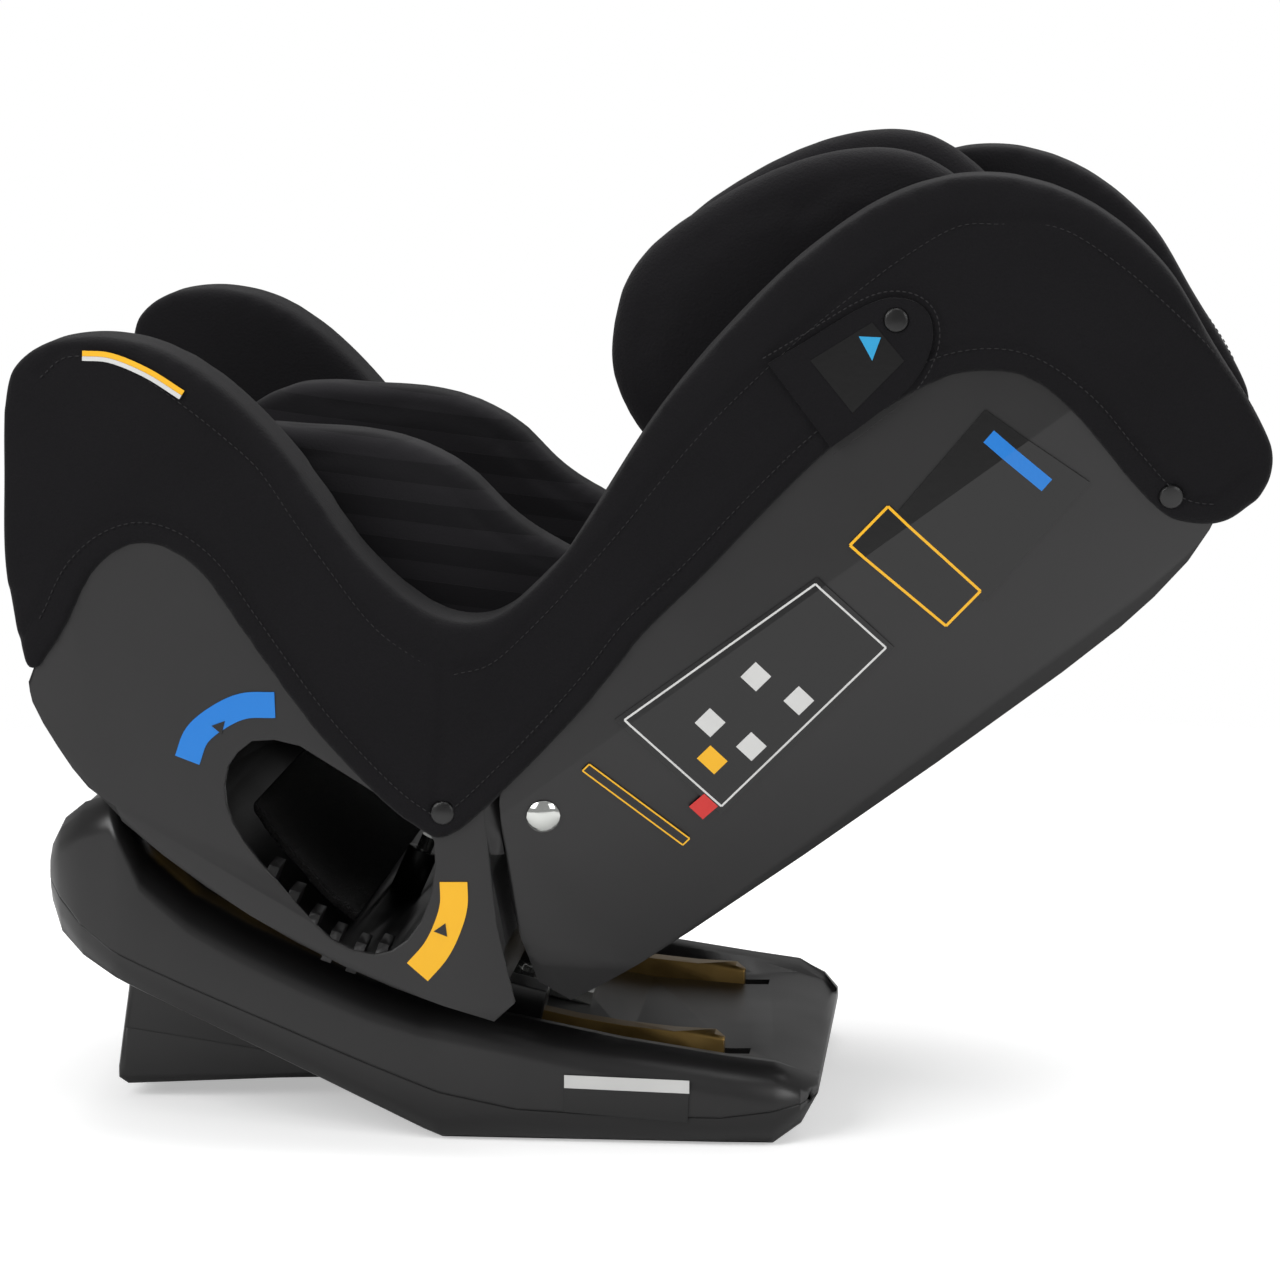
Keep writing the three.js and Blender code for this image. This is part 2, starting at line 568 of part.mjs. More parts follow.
function buildShells(parent) {
  group(parent);
  const bellyHalf = WALL_IN;
  let bucket = cut(slab(belly(0), -bellyHalf - 1, bellyHalf + 1), slab(belly(SHELL_WALL), -bellyHalf, bellyHalf));
  sides.forEach(([, side]) => {
    bucket = join(bucket, slab(bucketWall(), ...span(side, WALL_IN, WALL_OUT)));
    const joggle = cut(slab(rivetTab(), ...span(side, WALL_IN - TAB_REACH, WALL_IN + 1)),
      slab(backOutline(-1), ...span(side, WALL_IN - 11.5, WALL_IN + 2)));
    bucket = join(bucket, joggle);
  });
  const plateTop = BACK_LENGTH - 35;
  const plate = block(back, [-36, plateTop], [-SHELL_DROP - SHELL_WALL, -SHELL_DROP], [-CUSHION_HALF, CUSHION_HALF]);
  bucket = join(bucket, plate);
  [-1, 1].forEach((side) => {
    bucket = join(bucket, block(back, [-2, plateTop - 62], [-BACK_DEPTH + 16, -SHELL_DROP - 1], span(side, 96, 100)));
  });
  const opening = slab(beltOpening(), -WALL_OUT - 5, WALL_OUT + 5);
  const guide = radialRod(LATCH.angle, HULL_RADIUS - 34, HULL_RADIUS - 1, 0, LATCH.radius + 5);
  bucket = cut(
    join(cut(bucket, opening), ...sides.map(([, side]) => beltRibs(side)), guide),
    radialRod(LATCH.angle, HULL_RADIUS - 60, HULL_RADIUS + 20, 0, LATCH.radius + GAP, 24),
    ...harnessSlots(back, -SHELL_DROP - 10, -SHELL_DROP + 5),
    block(back, [STEM.low - 6, STEM.high + HEAD.travel + 6], [-SHELL_DROP - 10, -SHELL_DROP + 5], [-STEM.half - 2, STEM.half + 2]),
    block(frontFace, [-HANDLE.high / 2 - 1, HANDLE.high / 2 + 1], [-16, 8], [-HANDLE.half - 1, HANDLE.half + 1]),
    ...lapSlots(-SHELL_DROP - 10, -SHELL_DROP + 5),
    ...panSlots(-SHELL_DROP - 10, -SHELL_DROP + 5),
    block(back, [-62, 40], [HARNESS_PATH.backN - 5, HARNESS_PATH.backN + 13], [-WEBBING.width / 2 - 3, WEBBING.width / 2 + 3]),
    rivetHole(-1),
    rivetHole(1),
  );
  add('bucket_shell', bucket, 'plastic');

  const rear = leanIn(cut(slab(backOutline(0), -WALL_OUT, WALL_OUT), slab(backOutline(SHELL_WALL), -WALL_IN, WALL_IN)));
  const top = BACK_LENGTH;
  const openFront = slab([back(-75, -122), back(24, -122), back(60, -100), back(top - 70, -100), back(top - 42, -72),
    back(top - 42, -36), back(top + 60, -36), back(top, 140), back(8, 60), back(-60, -10)], -WALL_IN * 0.84, WALL_IN * 0.84);
  const window = block(back, [88, 400], [-BACK_DEPTH - 20, -BACK_DEPTH + 20], [-86, 86], 9);
  const jointRoom = block(back, [-75, 30], [-56, 60], [-WALL_IN + 8, WALL_IN - 8]);
  add('back_shell', cut(rear, openFront, jointRoom, window, rivetHole(-1), rivetHole(1)), 'plastic');

  sides.forEach(([name, side]) => {
    const dome = new THREE.LatheGeometry([[0, 4], [4, 3.6], [7.5, 2.4], [RIVET.radius, 0.6], [RIVET.radius, 0], [RIVET.shank, 0],
      [RIVET.shank, -16], [0, -16]].map(([r, h]) => new THREE.Vector2(r, h)), 18);
    const rivet = standOut(dome, rivetAt, side, rivetBase);
    add(`rivet_${name}`, outward(mergeVertices(plain(rivet), 1e-4)), 'bright');
    const y = (side * RAIL_SPACING) / 2;
    const runner = railBand(HULL_RADIUS + GAP, RAIL_RADIUS + 8, y, RUNNER.width, 0, RUNNER.from, RUNNER.to);
    const groove = railBand(RAIL_RADIUS - GAP, RAIL_RADIUS + 20, y, RAIL_WIDTH, GAP, RUNNER.from - 2, RUNNER.to + 2);
    add(`runner_${name}`, cut(runner, groove), 'snap');
  });
  const liner = flow([[-224, 204], [-213, 187], [-195, 166], [-178, 147], [-160, 133]], 10);
  const lifted = (by) => liner.map(([x, z]) => [x + by * 0.75, z + by * 0.66]);
  add('belt_path_pad', slab([...lifted(1.5), ...lifted(6).reverse()], -168, 168), 'fabric');
}

/** Geometry with position only, so that its shared corners can be merged. */
function plain(geometry) {
  geometry.deleteAttribute('normal');
  geometry.deleteAttribute('uv');
  return geometry;
}

/** Small guide ribs inside the lower lip of the belt opening. */
function beltRibs(side) {
  const lip = flow([[-214, 188], [-196, 167], [-179, 147], [-161, 132], [-140, 126], [-124, 132]], 7).slice(1, -1);
  return lip.map(([x, z]) => slab([[x - 9, z - 12], [x - 3, z - 14], [x + 4, z + 4], [x - 2, z + 6]],
    ...span(side, WALL_IN - 26, WALL_IN + 1))).reduce((a, b) => join(a, b));
}

/** Slots for the shoulder straps, through whatever lies between two depths. */
function harnessSlots(frame, low, high) {
  return [-1, 1].map((side) => block(frame,
    [SHOULDER_SLOT.u - SLOT_CLEARANCE - 2, SHOULDER_SLOT.u + SLOT_CLEARANCE + 2], [low, high],
    span(side, SHOULDER_SLOT.y - WEBBING.width / 2 - SLOT_CLEARANCE, SHOULDER_SLOT.y + WEBBING.width / 2 + SLOT_CLEARANCE)));
}

const LAP = { v: 34, y: 82 };
/** Slots for the lap straps. */
function lapSlots(low, high) {
  return [-1, 1].map((side) => block(pan, [LAP.v - 5, LAP.v + 5], [low, high],
    span(side, LAP.y - WEBBING.width / 2 - SLOT_CLEARANCE, LAP.y + WEBBING.width / 2 + SLOT_CLEARANCE)));
}

const CROTCH = { v: BUCKLE.v + BUCKLE.length + 26 };
/** Slots for the crotch strap and for the adjuster. */
function panSlots(low, high) {
  const half = WEBBING.width / 2 + SLOT_CLEARANCE;
  return [
    block(pan, [CROTCH.v - 5, CROTCH.v + 5], [low, high], [-half, half]),
    block(pan, [ADJUSTER.v - ADJUSTER.length / 2 - 1, ADJUSTER.v + ADJUSTER.length / 2 + 1], [low, high],
      [-ADJUSTER.width / 2 - 1, ADJUSTER.width / 2 + 1]),
  ];
}

// ---------------------------------------------------------------- padded sides, cushions and insert
/** Outline of a padded side: over the front wing, through the bight, over the back wing and along the hem. */
function coverOutline() {
  const front = PAN_DEPTH;
  const top = BACK_LENGTH;
  return [
    ...flow([pan(256, -100), pan(270, -88), pan(305, -48), pan(front - 29, -7), pan(front - 11, 23), pan(front, 46),
      pan(front - 1, 60), pan(front - 9, 76), pan(front - 35, 97), pan(front - 69, 108), pan(front - 107, 108), pan(208, 99),
      pan(170, 85), pan(127, 68), pan(76, 61), back(47, 72), back(64, 67), back(87, 68), back(112, 73), back(152, 87),
      back(189, 102), back(218, 112), back(271, 124), back(top - 167, 133), back(top - 110, 132), back(top - 68, 119),
      back(top - 38, 96), back(top - 13, 58), back(top, 5), back(top - 4, -48), back(top - 8, -100), back(top - 14, -124),
      back(top - 31, -138)], 40),
    ...flow([back(top - 60, -138), back(top - 74, -128), back(top - 83, -114), back(top - 88, -74), back(top - 91, -31),
      back(top - 106, 6), back(top - 133, 25), back(top - 169, 32), back(280, 33), back(224, 25), back(172, 15), back(124, 8),
      back(86, -3), back(18, -17), back(-36, -23), back(-47, -20)], 18),
    ...flow([pan(12, -52), pan(32, -51), pan(69, -43), pan(107, -31), pan(167, -6), pan(201, 8), pan(223, 10), pan(240, 5),
      pan(252, -9), pan(258, -31), pan(255, -62)], 12),
  ];
}

function buildSoft(parent) {
  group(parent);
  const walls = wallsWithClearance();
  sides.forEach(([name, side]) => {
    const pad = leanIn(slab(coverOutline(), ...span(side, INNER, OUTER), 7, 2));
    add(`side_cover_${name}`, cut(pad, ...walls), 'fabric');
  });

  const half = CUSHION_HALF;
  const low = -CUSHION - 1;
  const front = PAN_DEPTH;
  const seatOutline = [
    ...flow([pan(14, -4), pan(60, 0), pan(180, 1), pan(front - 108, 1), pan(front - 83, -1), pan(front - 54, -11),
      pan(front - 42, low)], 14),
    pan(26, low),
  ];
  const apron = [
    ...flow([pan(front - 44, -24), pan(front - 40, -34), pan(front - 50, -54), pan(271, -96)], 8),
    pan(264, -94), pan(303, -51), pan(307, -24),
  ];
  const seatCuts = [...lapSlots(-60, 40), ...panSlots(-60, 40)];
  add('seat_cushion', cut(join(slab(seatOutline, -half, half, 5, 2), slab(apron, -half, half, 1, 1)), ...seatCuts), 'fabric');
  const backTop = BACK_LENGTH - 30;
  const backOut = [
    back(24, low), ...flow([back(10, -12), back(14, -3), back(60, 0), back(200, 1), back(backTop - 30, 0), back(backTop - 4, -10),
      back(backTop, -24)], 14), back(backTop - 4, low),
  ];
  const stemSlot = block(back, [STEM.low - 6, STEM.high + HEAD.travel + 6], [-60, 40], [-STEM.half - 2, STEM.half + 2]);
  add('back_cushion', cut(slab(backOut, -half, half, 5, 2), ...harnessSlots(back, -60, 40), stemSlot), 'fabric');

  const padHalf = HEAD.half - 6;
  const padTop = SURFACE;
  add('insert_seat_pad', cut(block(pan, [22, 244], [1.4, padTop + 1], [-padHalf, padHalf], 3), ...seatCuts), 'insert');
  add('insert_back_pad', cut(block(back, [22, HEAD.low - 22], [1.4, padTop + 1], [-padHalf, padHalf], 3)), 'insert');
  sides.forEach(([name, side]) => {
    const [y0, y1] = span(side, HEAD.half, HEAD.half + 46);
    const outline = [
      ...flow([pan(262, 1.9), pan(264, 40), pan(240, 80), pan(200, 104), pan(163, 124), pan(132, 133), pan(100, 134),
        pan(72, 127), back(98, 92), back(110, 66), back(124, 30), back(128, 1.9)], 22),
      [BIGHT.x, BIGHT.z + 2.4],
    ];
    add(`insert_bolster_${name}`, slab(outline, y0, y1, 7, 2), 'insert');
  });
}

// ---------------------------------------------------------------- harness
function buildHarness(parent) {
  group(parent);
  const { width, thick } = WEBBING;
  const lift = STRAP_LIFT + 2;
  const tongueV = BUCKLE.v - 16;
  const yokeU = HARNESS_PATH.backU;
  sides.forEach(([name, side]) => {
    const y = side * SHOULDER_SLOT.y;
    const { u } = SHOULDER_SLOT;
    const shoulder = route([
      [back(yokeU + 1.6, HARNESS_PATH.backN), side * 24], [back(yokeU + 14, HARNESS_PATH.backN), side * 24.2],
      [back(yokeU + 34, HARNESS_PATH.backN), side * 34],
      [back(u - 8, HARNESS_PATH.backN + 4), y], [back(u, -50), y], [back(u, 4), y], [back(u - 12, lift + 3), y],
      [back(u - 40, lift), y], [back(70, lift), side * 40], [back(40, lift + 6), side * 36], [pan(48, lift + 6), side * 30],
      [pan(tongueV - 6, lift + 1), side * 22]], 34);
    add(`shoulder_strap_${name}`, ribbon(shoulder, width, thick), 'webbing');
    const lap = route([
      [pan(LAP.v, -50), side * LAP.y], [pan(LAP.v, 4), side * LAP.y], [pan(LAP.v + 6, lift + 8), side * (LAP.y - 2)],
      [pan(LAP.v + 20, lift + 14), side * (LAP.y - 14)], [pan(tongueV - 8, lift + 8.3), side * 32]], 14);
    add(`lap_strap_${name}`, ribbon(lap, width * 0.7, thick), 'webbing');
    const tongue = block(pan, [tongueV - 14, BUCKLE.v + 12], [lift + 4, lift + 6.5], span(side, 3, 26), 0);
    add(`buckle_tongue_${name}`, tongue, 'bright');
    const padOutline = [back(u - 36, lift + 2), back(u - 36, lift + 10), back(76, lift + 10), back(76, lift + 2)];
    add(`shoulder_pad_${name}`, slab(padOutline, ...span(side, SHOULDER_SLOT.y - 29, SHOULDER_SLOT.y + 23), 3, 2), 'insert');
  });

  const tongueRoom = block(pan, [BUCKLE.v - 10, BUCKLE.v + 14], [lift + 3.2, lift + 7.3], [-28, 28]);
  const housing = block(pan, [BUCKLE.v, BUCKLE.v + BUCKLE.length], [lift - 2, lift + BUCKLE.thick - 2],
    [-BUCKLE.width / 2 - 6, BUCKLE.width / 2 + 6], 6);
  const buttonAt = { from: BUCKLE.v + 20, to: BUCKLE.v + 46 };
  const well = block(pan, [buttonAt.from, buttonAt.to], [lift + 11, lift + BUCKLE.thick + 2], [-15, 15]);
  const strapRoom = block(pan, [BUCKLE.v + BUCKLE.length - 8, BUCKLE.v + BUCKLE.length + 4], [lift + 2, lift + 7],
    [-WEBBING.width / 2 - 1, WEBBING.width / 2 + 1]);
  add('buckle_housing', cut(housing, tongueRoom, well, strapRoom), 'plastic');
  const end = BUCKLE.v + BUCKLE.length;
  add('crotch_strap', ribbon(route([
    [pan(CROTCH.v, -50), 0], [pan(CROTCH.v, 2), 0], [pan(CROTCH.v - 4, lift), 0], [pan(CROTCH.v - 14, lift + 5), 0],
    [pan(end - 5, lift + 4.5), 0]], 14), width, thick), 'webbing');
  add('harness_yoke', cut(block(back, [yokeU - 30, yokeU], [HARNESS_PATH.backN - 2.5, HARNESS_PATH.backN + 2], [-44, 44], 0),
    block(back, [yokeU - 12, yokeU - 8], [HARNESS_PATH.backN - 5, HARNESS_PATH.backN + 5], [-20, 20])), 'bright');
  add('adjuster_webbing', ribbon(route([
    [back(yokeU - 31.2, HARNESS_PATH.backN), 0], [back(40, HARNESS_PATH.backN), 0], [back(-8, HARNESS_PATH.backN), 0],
    [back(-36, -62), 0], [pan(20, -54), 0], [pan(60, -54), 0], [pan(200, -54), 0], [pan(ADJUSTER.v - 34, -54), 0]], 30), width, thick), 'webbing');
  const adjusterLow = -SHELL_DROP - 8;
  const adjuster = block(pan, [ADJUSTER.v - ADJUSTER.length / 2, ADJUSTER.v + ADJUSTER.length / 2], [adjusterLow, 7],
    [-ADJUSTER.width / 2, ADJUSTER.width / 2], 5);
  const buttonWell = block(pan, [ADJUSTER.v - 12, ADJUSTER.v + 12], [-6, 12], [-18, 18]);
  add('adjuster_housing', cut(adjuster, buttonWell), 'plastic');
}

function buildButtons(parent) {
  const lift = STRAP_LIFT + 2;
  group(parent);
  add('buckle_button', block(pan, [BUCKLE.v + 20.5, BUCKLE.v + 45.5], [lift + 11 + BUCKLE_TRAVEL + 0.5, lift + BUCKLE.thick],
    [-14.5, 14.5], 1.5), 'release');
  group(parent);
  add('adjuster_button', block(pan, [ADJUSTER.v - 11.5, ADJUSTER.v + 11.5], [-6 + ADJUSTER_TRAVEL + 0.5, 9], [-17.5, 17.5], 1.5), 'snap');
}

// ---------------------------------------------------------------- headrest
function buildHeadrest(parent) {
  group(parent);
  const { low, high, pad, half, wing } = HEAD;
  const face = SURFACE;
  const plate = block(back, [low + 20, high - 10.3], [3, 7], [-half - 40, half + 40], 1);
  add('headrest_plate', plate, 'plastic');
  add('headrest_centre_pad', block(back, [low + 12, high], [7.5, 7.5 + pad], [-half + 1, half - 1], 9), 'insert');
  sides.forEach(([name, side]) => {
    const outline = [
      ...flow([back(low + 16, 8), back(low + 14, 40), back(low + 6, 70), back(low, 102), back(low + 3, 129), back(low + 11, 149),
        back(low + 27, 167), back(low + 46, 182), back(low + 72, 190), back(low + 108, 190), back(high - 97, 185),
        back(high - 60, 174), back(high - 30, 157), back(high - 13, 139), back(high - 2, 112), back(high + 4, 70),
        back(high + 2, 30), back(high - 6, 8)], 30),
    ];
    add(`headrest_wing_${name}`, slab(outline, ...span(side, half + 0.5, half + wing), 14, 3), 'fabric');
  });
  const stem = block(back, [STEM.low, STEM.high], [-SHELL_DROP - 12, 2.7], [-STEM.half, STEM.half]);
  const carriage = block(back, [STEM.low - 10, STEM.high + 10], [-SHELL_DROP - 16, -SHELL_DROP - SHELL_WALL - 1], [-40, 40], 1);
  add('headrest_carriage', join(stem, carriage), 'plastic');
  group(parent);
  add('headrest_release', block(back, [high - 10, high + 14], [face - 11, 7], [-34, 34], 1.2), 'snap');
}

// ---------------------------------------------------------------- moving trim
function buildTrim(parent) {
  const stud = (at, side, base) => {
    const cap = new THREE.LatheGeometry([[0, 2.2], [3.5, 1.9], [6.6, 1.4], [FLAP.snap, 0], [0, 0]]
      .map(([r, h]) => new THREE.Vector2(r, h)), 16);
    const turned = standOut(cap, at, side, base);
    return outward(mergeVertices(plain(turned), 1e-4));
  };
  group(parent);
  const tip = back(-34, -8);
  const rearCorner = back(BACK_LENGTH - 75, -106);
  sides.forEach(([name, side]) => {
    add(`snap_front_${name}`, stud(tip, side, OUTER + GAP), 'snap');
    add(`snap_rear_${name}`, stud(rearCorner, side, OUTER * leanAt(depthOf(rearCorner)) + 2 * GAP), 'snap');
  });
  sides.forEach(([name, side]) => {
    group(parent);
    const outline = flow([back(278, 95), back(300, 93), back(345, 90), back(363, 84), back(371, 66), back(362, 49),
      back(342, 37), back(310, 34), back(280, 34)], 20);
    add(`side_flap_${name}`, slab(outline, ...span(side, OUTER + GAP, OUTER + GAP + FLAP.thick - 0.4)), 'fabric');
    add(`flap_snap_${name}`, stud(back(354, 72), side, OUTER + FLAP.thick + GAP - 0.1), 'snap');
  });
}

// ---------------------------------------------------------------- recline release
function buildRelease(parent) {
  group(parent);
  const { high, half, proud, thick } = HANDLE;
  const grip = block(frontFace, [-high / 2, high / 2], [proud - thick, proud], [-half, half], 3);
  const stem = block(frontFace, [-5, 5], [-40, proud - thick + 2], [-14, 14]);
  add('recline_handle', join(grip, stem), 'snap');
  group(parent);
  add('latch_pin', radialRod(LATCH.angle, HULL_RADIUS - 44, TROUGH_RADIUS - 9.5, 0, LATCH.radius, 24), 'bright');
}

// ---------------------------------------------------------------- assembly
const body = new THREE.Group();
seat.add(body);
buildBase(body);
buildFoot(body);
buildShells(body);
buildSoft(body);
buildHarness(body);
buildButtons(body);
buildHeadrest(body);
buildTrim(body);
buildRelease(body);

const bounds = new THREE.Box3().setFromObject(body);
body.position.set(-(bounds.min.x + bounds.max.x) / 2, 0, -bounds.min.z);
body.updateMatrixWorld(true);

export default seat;
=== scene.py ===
import json
import logging
import math
from dataclasses import dataclass
from enum import Enum
from typing import Sequence

import bmesh
import bpy
import numpy as np
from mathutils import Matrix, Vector


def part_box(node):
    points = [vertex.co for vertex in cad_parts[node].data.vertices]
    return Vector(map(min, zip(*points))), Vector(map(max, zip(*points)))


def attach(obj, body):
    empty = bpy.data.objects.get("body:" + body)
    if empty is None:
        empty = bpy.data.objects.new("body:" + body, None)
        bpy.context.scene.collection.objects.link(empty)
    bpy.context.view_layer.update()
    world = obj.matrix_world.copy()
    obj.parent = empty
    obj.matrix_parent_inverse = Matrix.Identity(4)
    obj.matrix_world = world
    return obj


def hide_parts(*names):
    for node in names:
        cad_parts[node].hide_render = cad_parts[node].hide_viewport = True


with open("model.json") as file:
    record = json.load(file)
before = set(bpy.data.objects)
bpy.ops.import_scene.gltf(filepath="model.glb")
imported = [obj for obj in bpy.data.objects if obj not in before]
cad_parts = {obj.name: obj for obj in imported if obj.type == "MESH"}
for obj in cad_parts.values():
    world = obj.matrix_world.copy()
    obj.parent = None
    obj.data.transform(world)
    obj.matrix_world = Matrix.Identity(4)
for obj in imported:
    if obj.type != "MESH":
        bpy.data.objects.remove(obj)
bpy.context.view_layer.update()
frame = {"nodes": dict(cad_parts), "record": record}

LOG = logging.getLogger("car_seat")
Point = tuple[float, float]

# ---------------------------------------------------------------- sizes shared with the frame, in metres
PIVOT_X, PIVOT_Z = -0.134, 0.010  # foot pivot as drawn, which fixes where the drawing lies in the frame
ROD_LOW, ROD_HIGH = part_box("foot_pivot_rod")
SHIFT_X = (ROD_LOW.x + ROD_HIGH.x) / 2 - PIVOT_X
SHIFT_Z = (ROD_LOW.z + ROD_HIGH.z) / 2 - PIVOT_Z
BIGHT = (-0.075 + SHIFT_X, 0.240 + SHIFT_Z)
BACK_ANGLE = math.radians(36.2)
PAN_ANGLE = math.radians(148.0)
BACK_DEPTH = 0.154
LEAN_FROM = -0.030
REAR_TAPER = 0.031
OUTER = 0.2271
INNER = 0.1691
WALL_OUT = 0.2218
BACK_LENGTH = 0.497
PAN_DEPTH = 0.359
SIDES = (("left", -1), ("right", 1))


def back(u: float, n: float) -> Point:
    """Side-view point of the backrest's frame: u up the back, n out towards the child, in millimetres."""
    c, s = math.cos(BACK_ANGLE), math.sin(BACK_ANGLE)
    return BIGHT[0] + (u * c - n * s) / 1000, BIGHT[1] + (u * s + n * c) / 1000


def pan(v: float, m: float) -> Point:
    """Side-view point of the seat pan's frame: v forward, m up from the pan, in millimetres."""
    c, s = math.cos(PAN_ANGLE), math.sin(PAN_ANGLE)
    return BIGHT[0] + (v * c + m * s) / 1000, BIGHT[1] + (v * s - m * c) / 1000


def drawn(x: float, z: float) -> Point:
    """Side-view point given in the drawing's own millimetres."""
    return x / 1000 + SHIFT_X, z / 1000 + SHIFT_Z


def lean(xz: np.ndarray) -> np.ndarray:
    """Share of its width that a side keeps at each side-view point."""
    depth = -(xz[:, 0] - BIGHT[0]) * math.sin(BACK_ANGLE) + (xz[:, 1] - BIGHT[1]) * math.cos(BACK_ANGLE)
    return 1 - np.maximum(0, LEAN_FROM - depth) / (BACK_DEPTH + LEAN_FROM) * (REAR_TAPER / WALL_OUT)


# ---------------------------------------------------------------- lines
def flow(points: Sequence[Sequence[float]], per: int = 8) -> np.ndarray:
    """Smooth line through points.

    Args:
        points: places that the line passes through.
        per: steps between one place and the next.

    Returns:
        The line's points, one a row.
    """
    p = np.array(points, float)
    p = np.vstack([2 * p[0] - p[1], p, 2 * p[-1] - p[-2]])
    out = []
    for a, b, c, d in zip(p, p[1:], p[2:], p[3:]):
        t1 = max(np.linalg.norm(b - a), 1e-9) ** 0.5
        t2 = t1 + max(np.linalg.norm(c - b), 1e-9) ** 0.5
        t3 = t2 + max(np.linalg.norm(d - c), 1e-9) ** 0.5
        for t in np.linspace(t1, t2, per, endpoint=False):
            ab = a * (t1 - t) / t1 + b * t / t1
            bc = b * (t2 - t) / (t2 - t1) + c * (t - t1) / (t2 - t1)
            cd = c * (t3 - t) / (t3 - t2) + d * (t - t2) / (t3 - t2)
            ac = ab * (t2 - t) / t2 + bc * t / t2
            bd = bc * (t3 - t) / (t3 - t1) + cd * (t - t1) / (t3 - t1)
            out.append(ac * (t2 - t) / (t2 - t1) + bd * (t - t1) / (t2 - t1))
    return np.vstack([out, p[-2]])


def even(line: np.ndarray, step: float, closed: bool = False) -> np.ndarray:
    """The same line with its points a step apart."""
    line = np.vstack([line, line[:1]]) if closed else line
    run = np.concatenate([[0], np.cumsum(np.linalg.norm(np.diff(line, axis=0), axis=1))])
    count = max(3, int(run[-1] / step))
    at = np.linspace(0, run[-1], count, endpoint=not closed)
    return np.column_stack([np.interp(at, run, line[:, k]) for k in range(line.shape[1])])


def reach(xz: np.ndarray, line: np.ndarray) -> np.ndarray:
    """Distance of each side-view point from a line."""
    best = np.full(len(xz), 9.0)
    for a, b in zip(line, line[1:]):
        along = b - a
        t = np.clip((xz - a) @ along / max(along @ along, 1e-12), 0, 1)
        best = np.minimum(best, np.linalg.norm(xz - a - t[:, None] * along, axis=1))
    return best


def inset(line: np.ndarray, by: float) -> np.ndarray:
    """A line moved sideways, to its left as it runs."""
    ahead = np.gradient(line, axis=0)
    ahead /= np.linalg.norm(ahead, axis=1)[:, None]
    return line + by * np.column_stack([-ahead[:, 1], ahead[:, 0]])


# ---------------------------------------------------------------- finishes
class Wire:
    """Socket of a shader that takes part in sums and products."""

    def __init__(self, recipe: "Recipe", socket: bpy.types.NodeSocket) -> None:
        """Keeps the socket with the recipe it belongs to."""
        self.recipe = recipe
        self.socket = socket

    def _with(self, operation: str, other: "Wire | float") -> "Wire":
        """Result of one operation on this socket and another value."""
        return self.recipe.node("ShaderNodeMath", {0: self, 1: other}, operation=operation)

    def __add__(self, other: "Wire | float") -> "Wire":
        """Sum."""
        return self._with("ADD", other)

    def __sub__(self, other: "Wire | float") -> "Wire":
        """Difference."""
        return self._with("SUBTRACT", other)

    def __mul__(self, other: "Wire | float") -> "Wire":
        """Product."""
        return self._with("MULTIPLY", other)

    def wave(self, period: float) -> "Wire":
        """Sine of this length over a period."""
        return self._with("MULTIPLY", math.tau / period)._with("SINE", 0.0)

    def over(self, edge: float) -> "Wire":
        """One where the value is above an edge."""
        return self._with("GREATER_THAN", edge)


class Recipe:
    """A material under construction."""

    def __init__(self, name: str) -> None:
        """Starts an empty material."""
        self.material = bpy.data.materials.new(name)
        self.material.use_nodes = True
        self.tree = self.material.node_tree
        self.tree.nodes.clear()

    def node(self, kind: str, inputs: dict | None = None, out: int | str = 0, **settings: object) -> Wire:
        """Makes one node.

        Args:
            kind: the node's type.
            inputs: input name or number to a value or a wire.
            out: output to hand back.
            settings: the node's own properties.

        Returns:
            The output asked for.
        """
        made = self.tree.nodes.new(kind)
        for key, value in settings.items():
            setattr(made, key, value)
        for key, value in (inputs or {}).items():
            if isinstance(value, Wire):
                self.tree.links.new(value.socket, made.inputs[key])
            else:
                made.inputs[key].default_value = value
        return Wire(self, made.outputs[out])

    def place(self) -> tuple[Wire, Wire, Wire, Wire]:
        """Object coordinates, whole and by axis."""
        whole = self.node("ShaderNodeTexCoord", out="Object")
        apart = self.node("ShaderNodeSeparateXYZ", {0: whole})
        split = apart.socket.node
        return whole, Wire(self, split.outputs[0]), Wire(self, split.outputs[1]), Wire(self, split.outputs[2])

    def noise(self, at: Wire, scale: float, detail: float = 2.0) -> Wire:
        """Soft random value from 0 to 1."""
        return self.node("ShaderNodeTexNoise", {"Vector": at, "Scale": scale, "Detail": detail}, out=0)

    def blend(self, share: "Wire | float", low: Sequence[float], high: Sequence[float]) -> Wire:
        """Colour between two colours."""
        made = self.tree.nodes.new("ShaderNodeMix")
        made.data_type = "RGBA"
        self.tree.links.new(share.socket, made.inputs[0])
        made.inputs[6].default_value = (*low, 1)
        made.inputs[7].default_value = (*high, 1)
        return Wire(self, made.outputs[2])

    def bump(self, height: Wire, distance: float, under: Wire | None = None) -> Wire:
        """Normal raised by a height."""
        inputs = {"Height": height, "Distance": distance, "Strength": 1.0}
        if under is not None:
            inputs["Normal"] = under
        return self.node("ShaderNodeBump", inputs)

    def close(self, **sockets: object) -> bpy.types.Material:
        """Ends the material in its surface shader, with sockets named with underscores for spaces."""
        inputs = {key.replace("_", " "): value for key, value in sockets.items()}
        shader = self.node("ShaderNodeBsdfPrincipled", inputs)
        self.node_out(shader)
        return self.material

    def node_out(self, shader: Wire) -> None:
        """Joins a shader to the material's output."""
        made = self.tree.nodes.new("ShaderNodeOutputMaterial")
        self.tree.links.new(shader.socket, made.inputs[0])


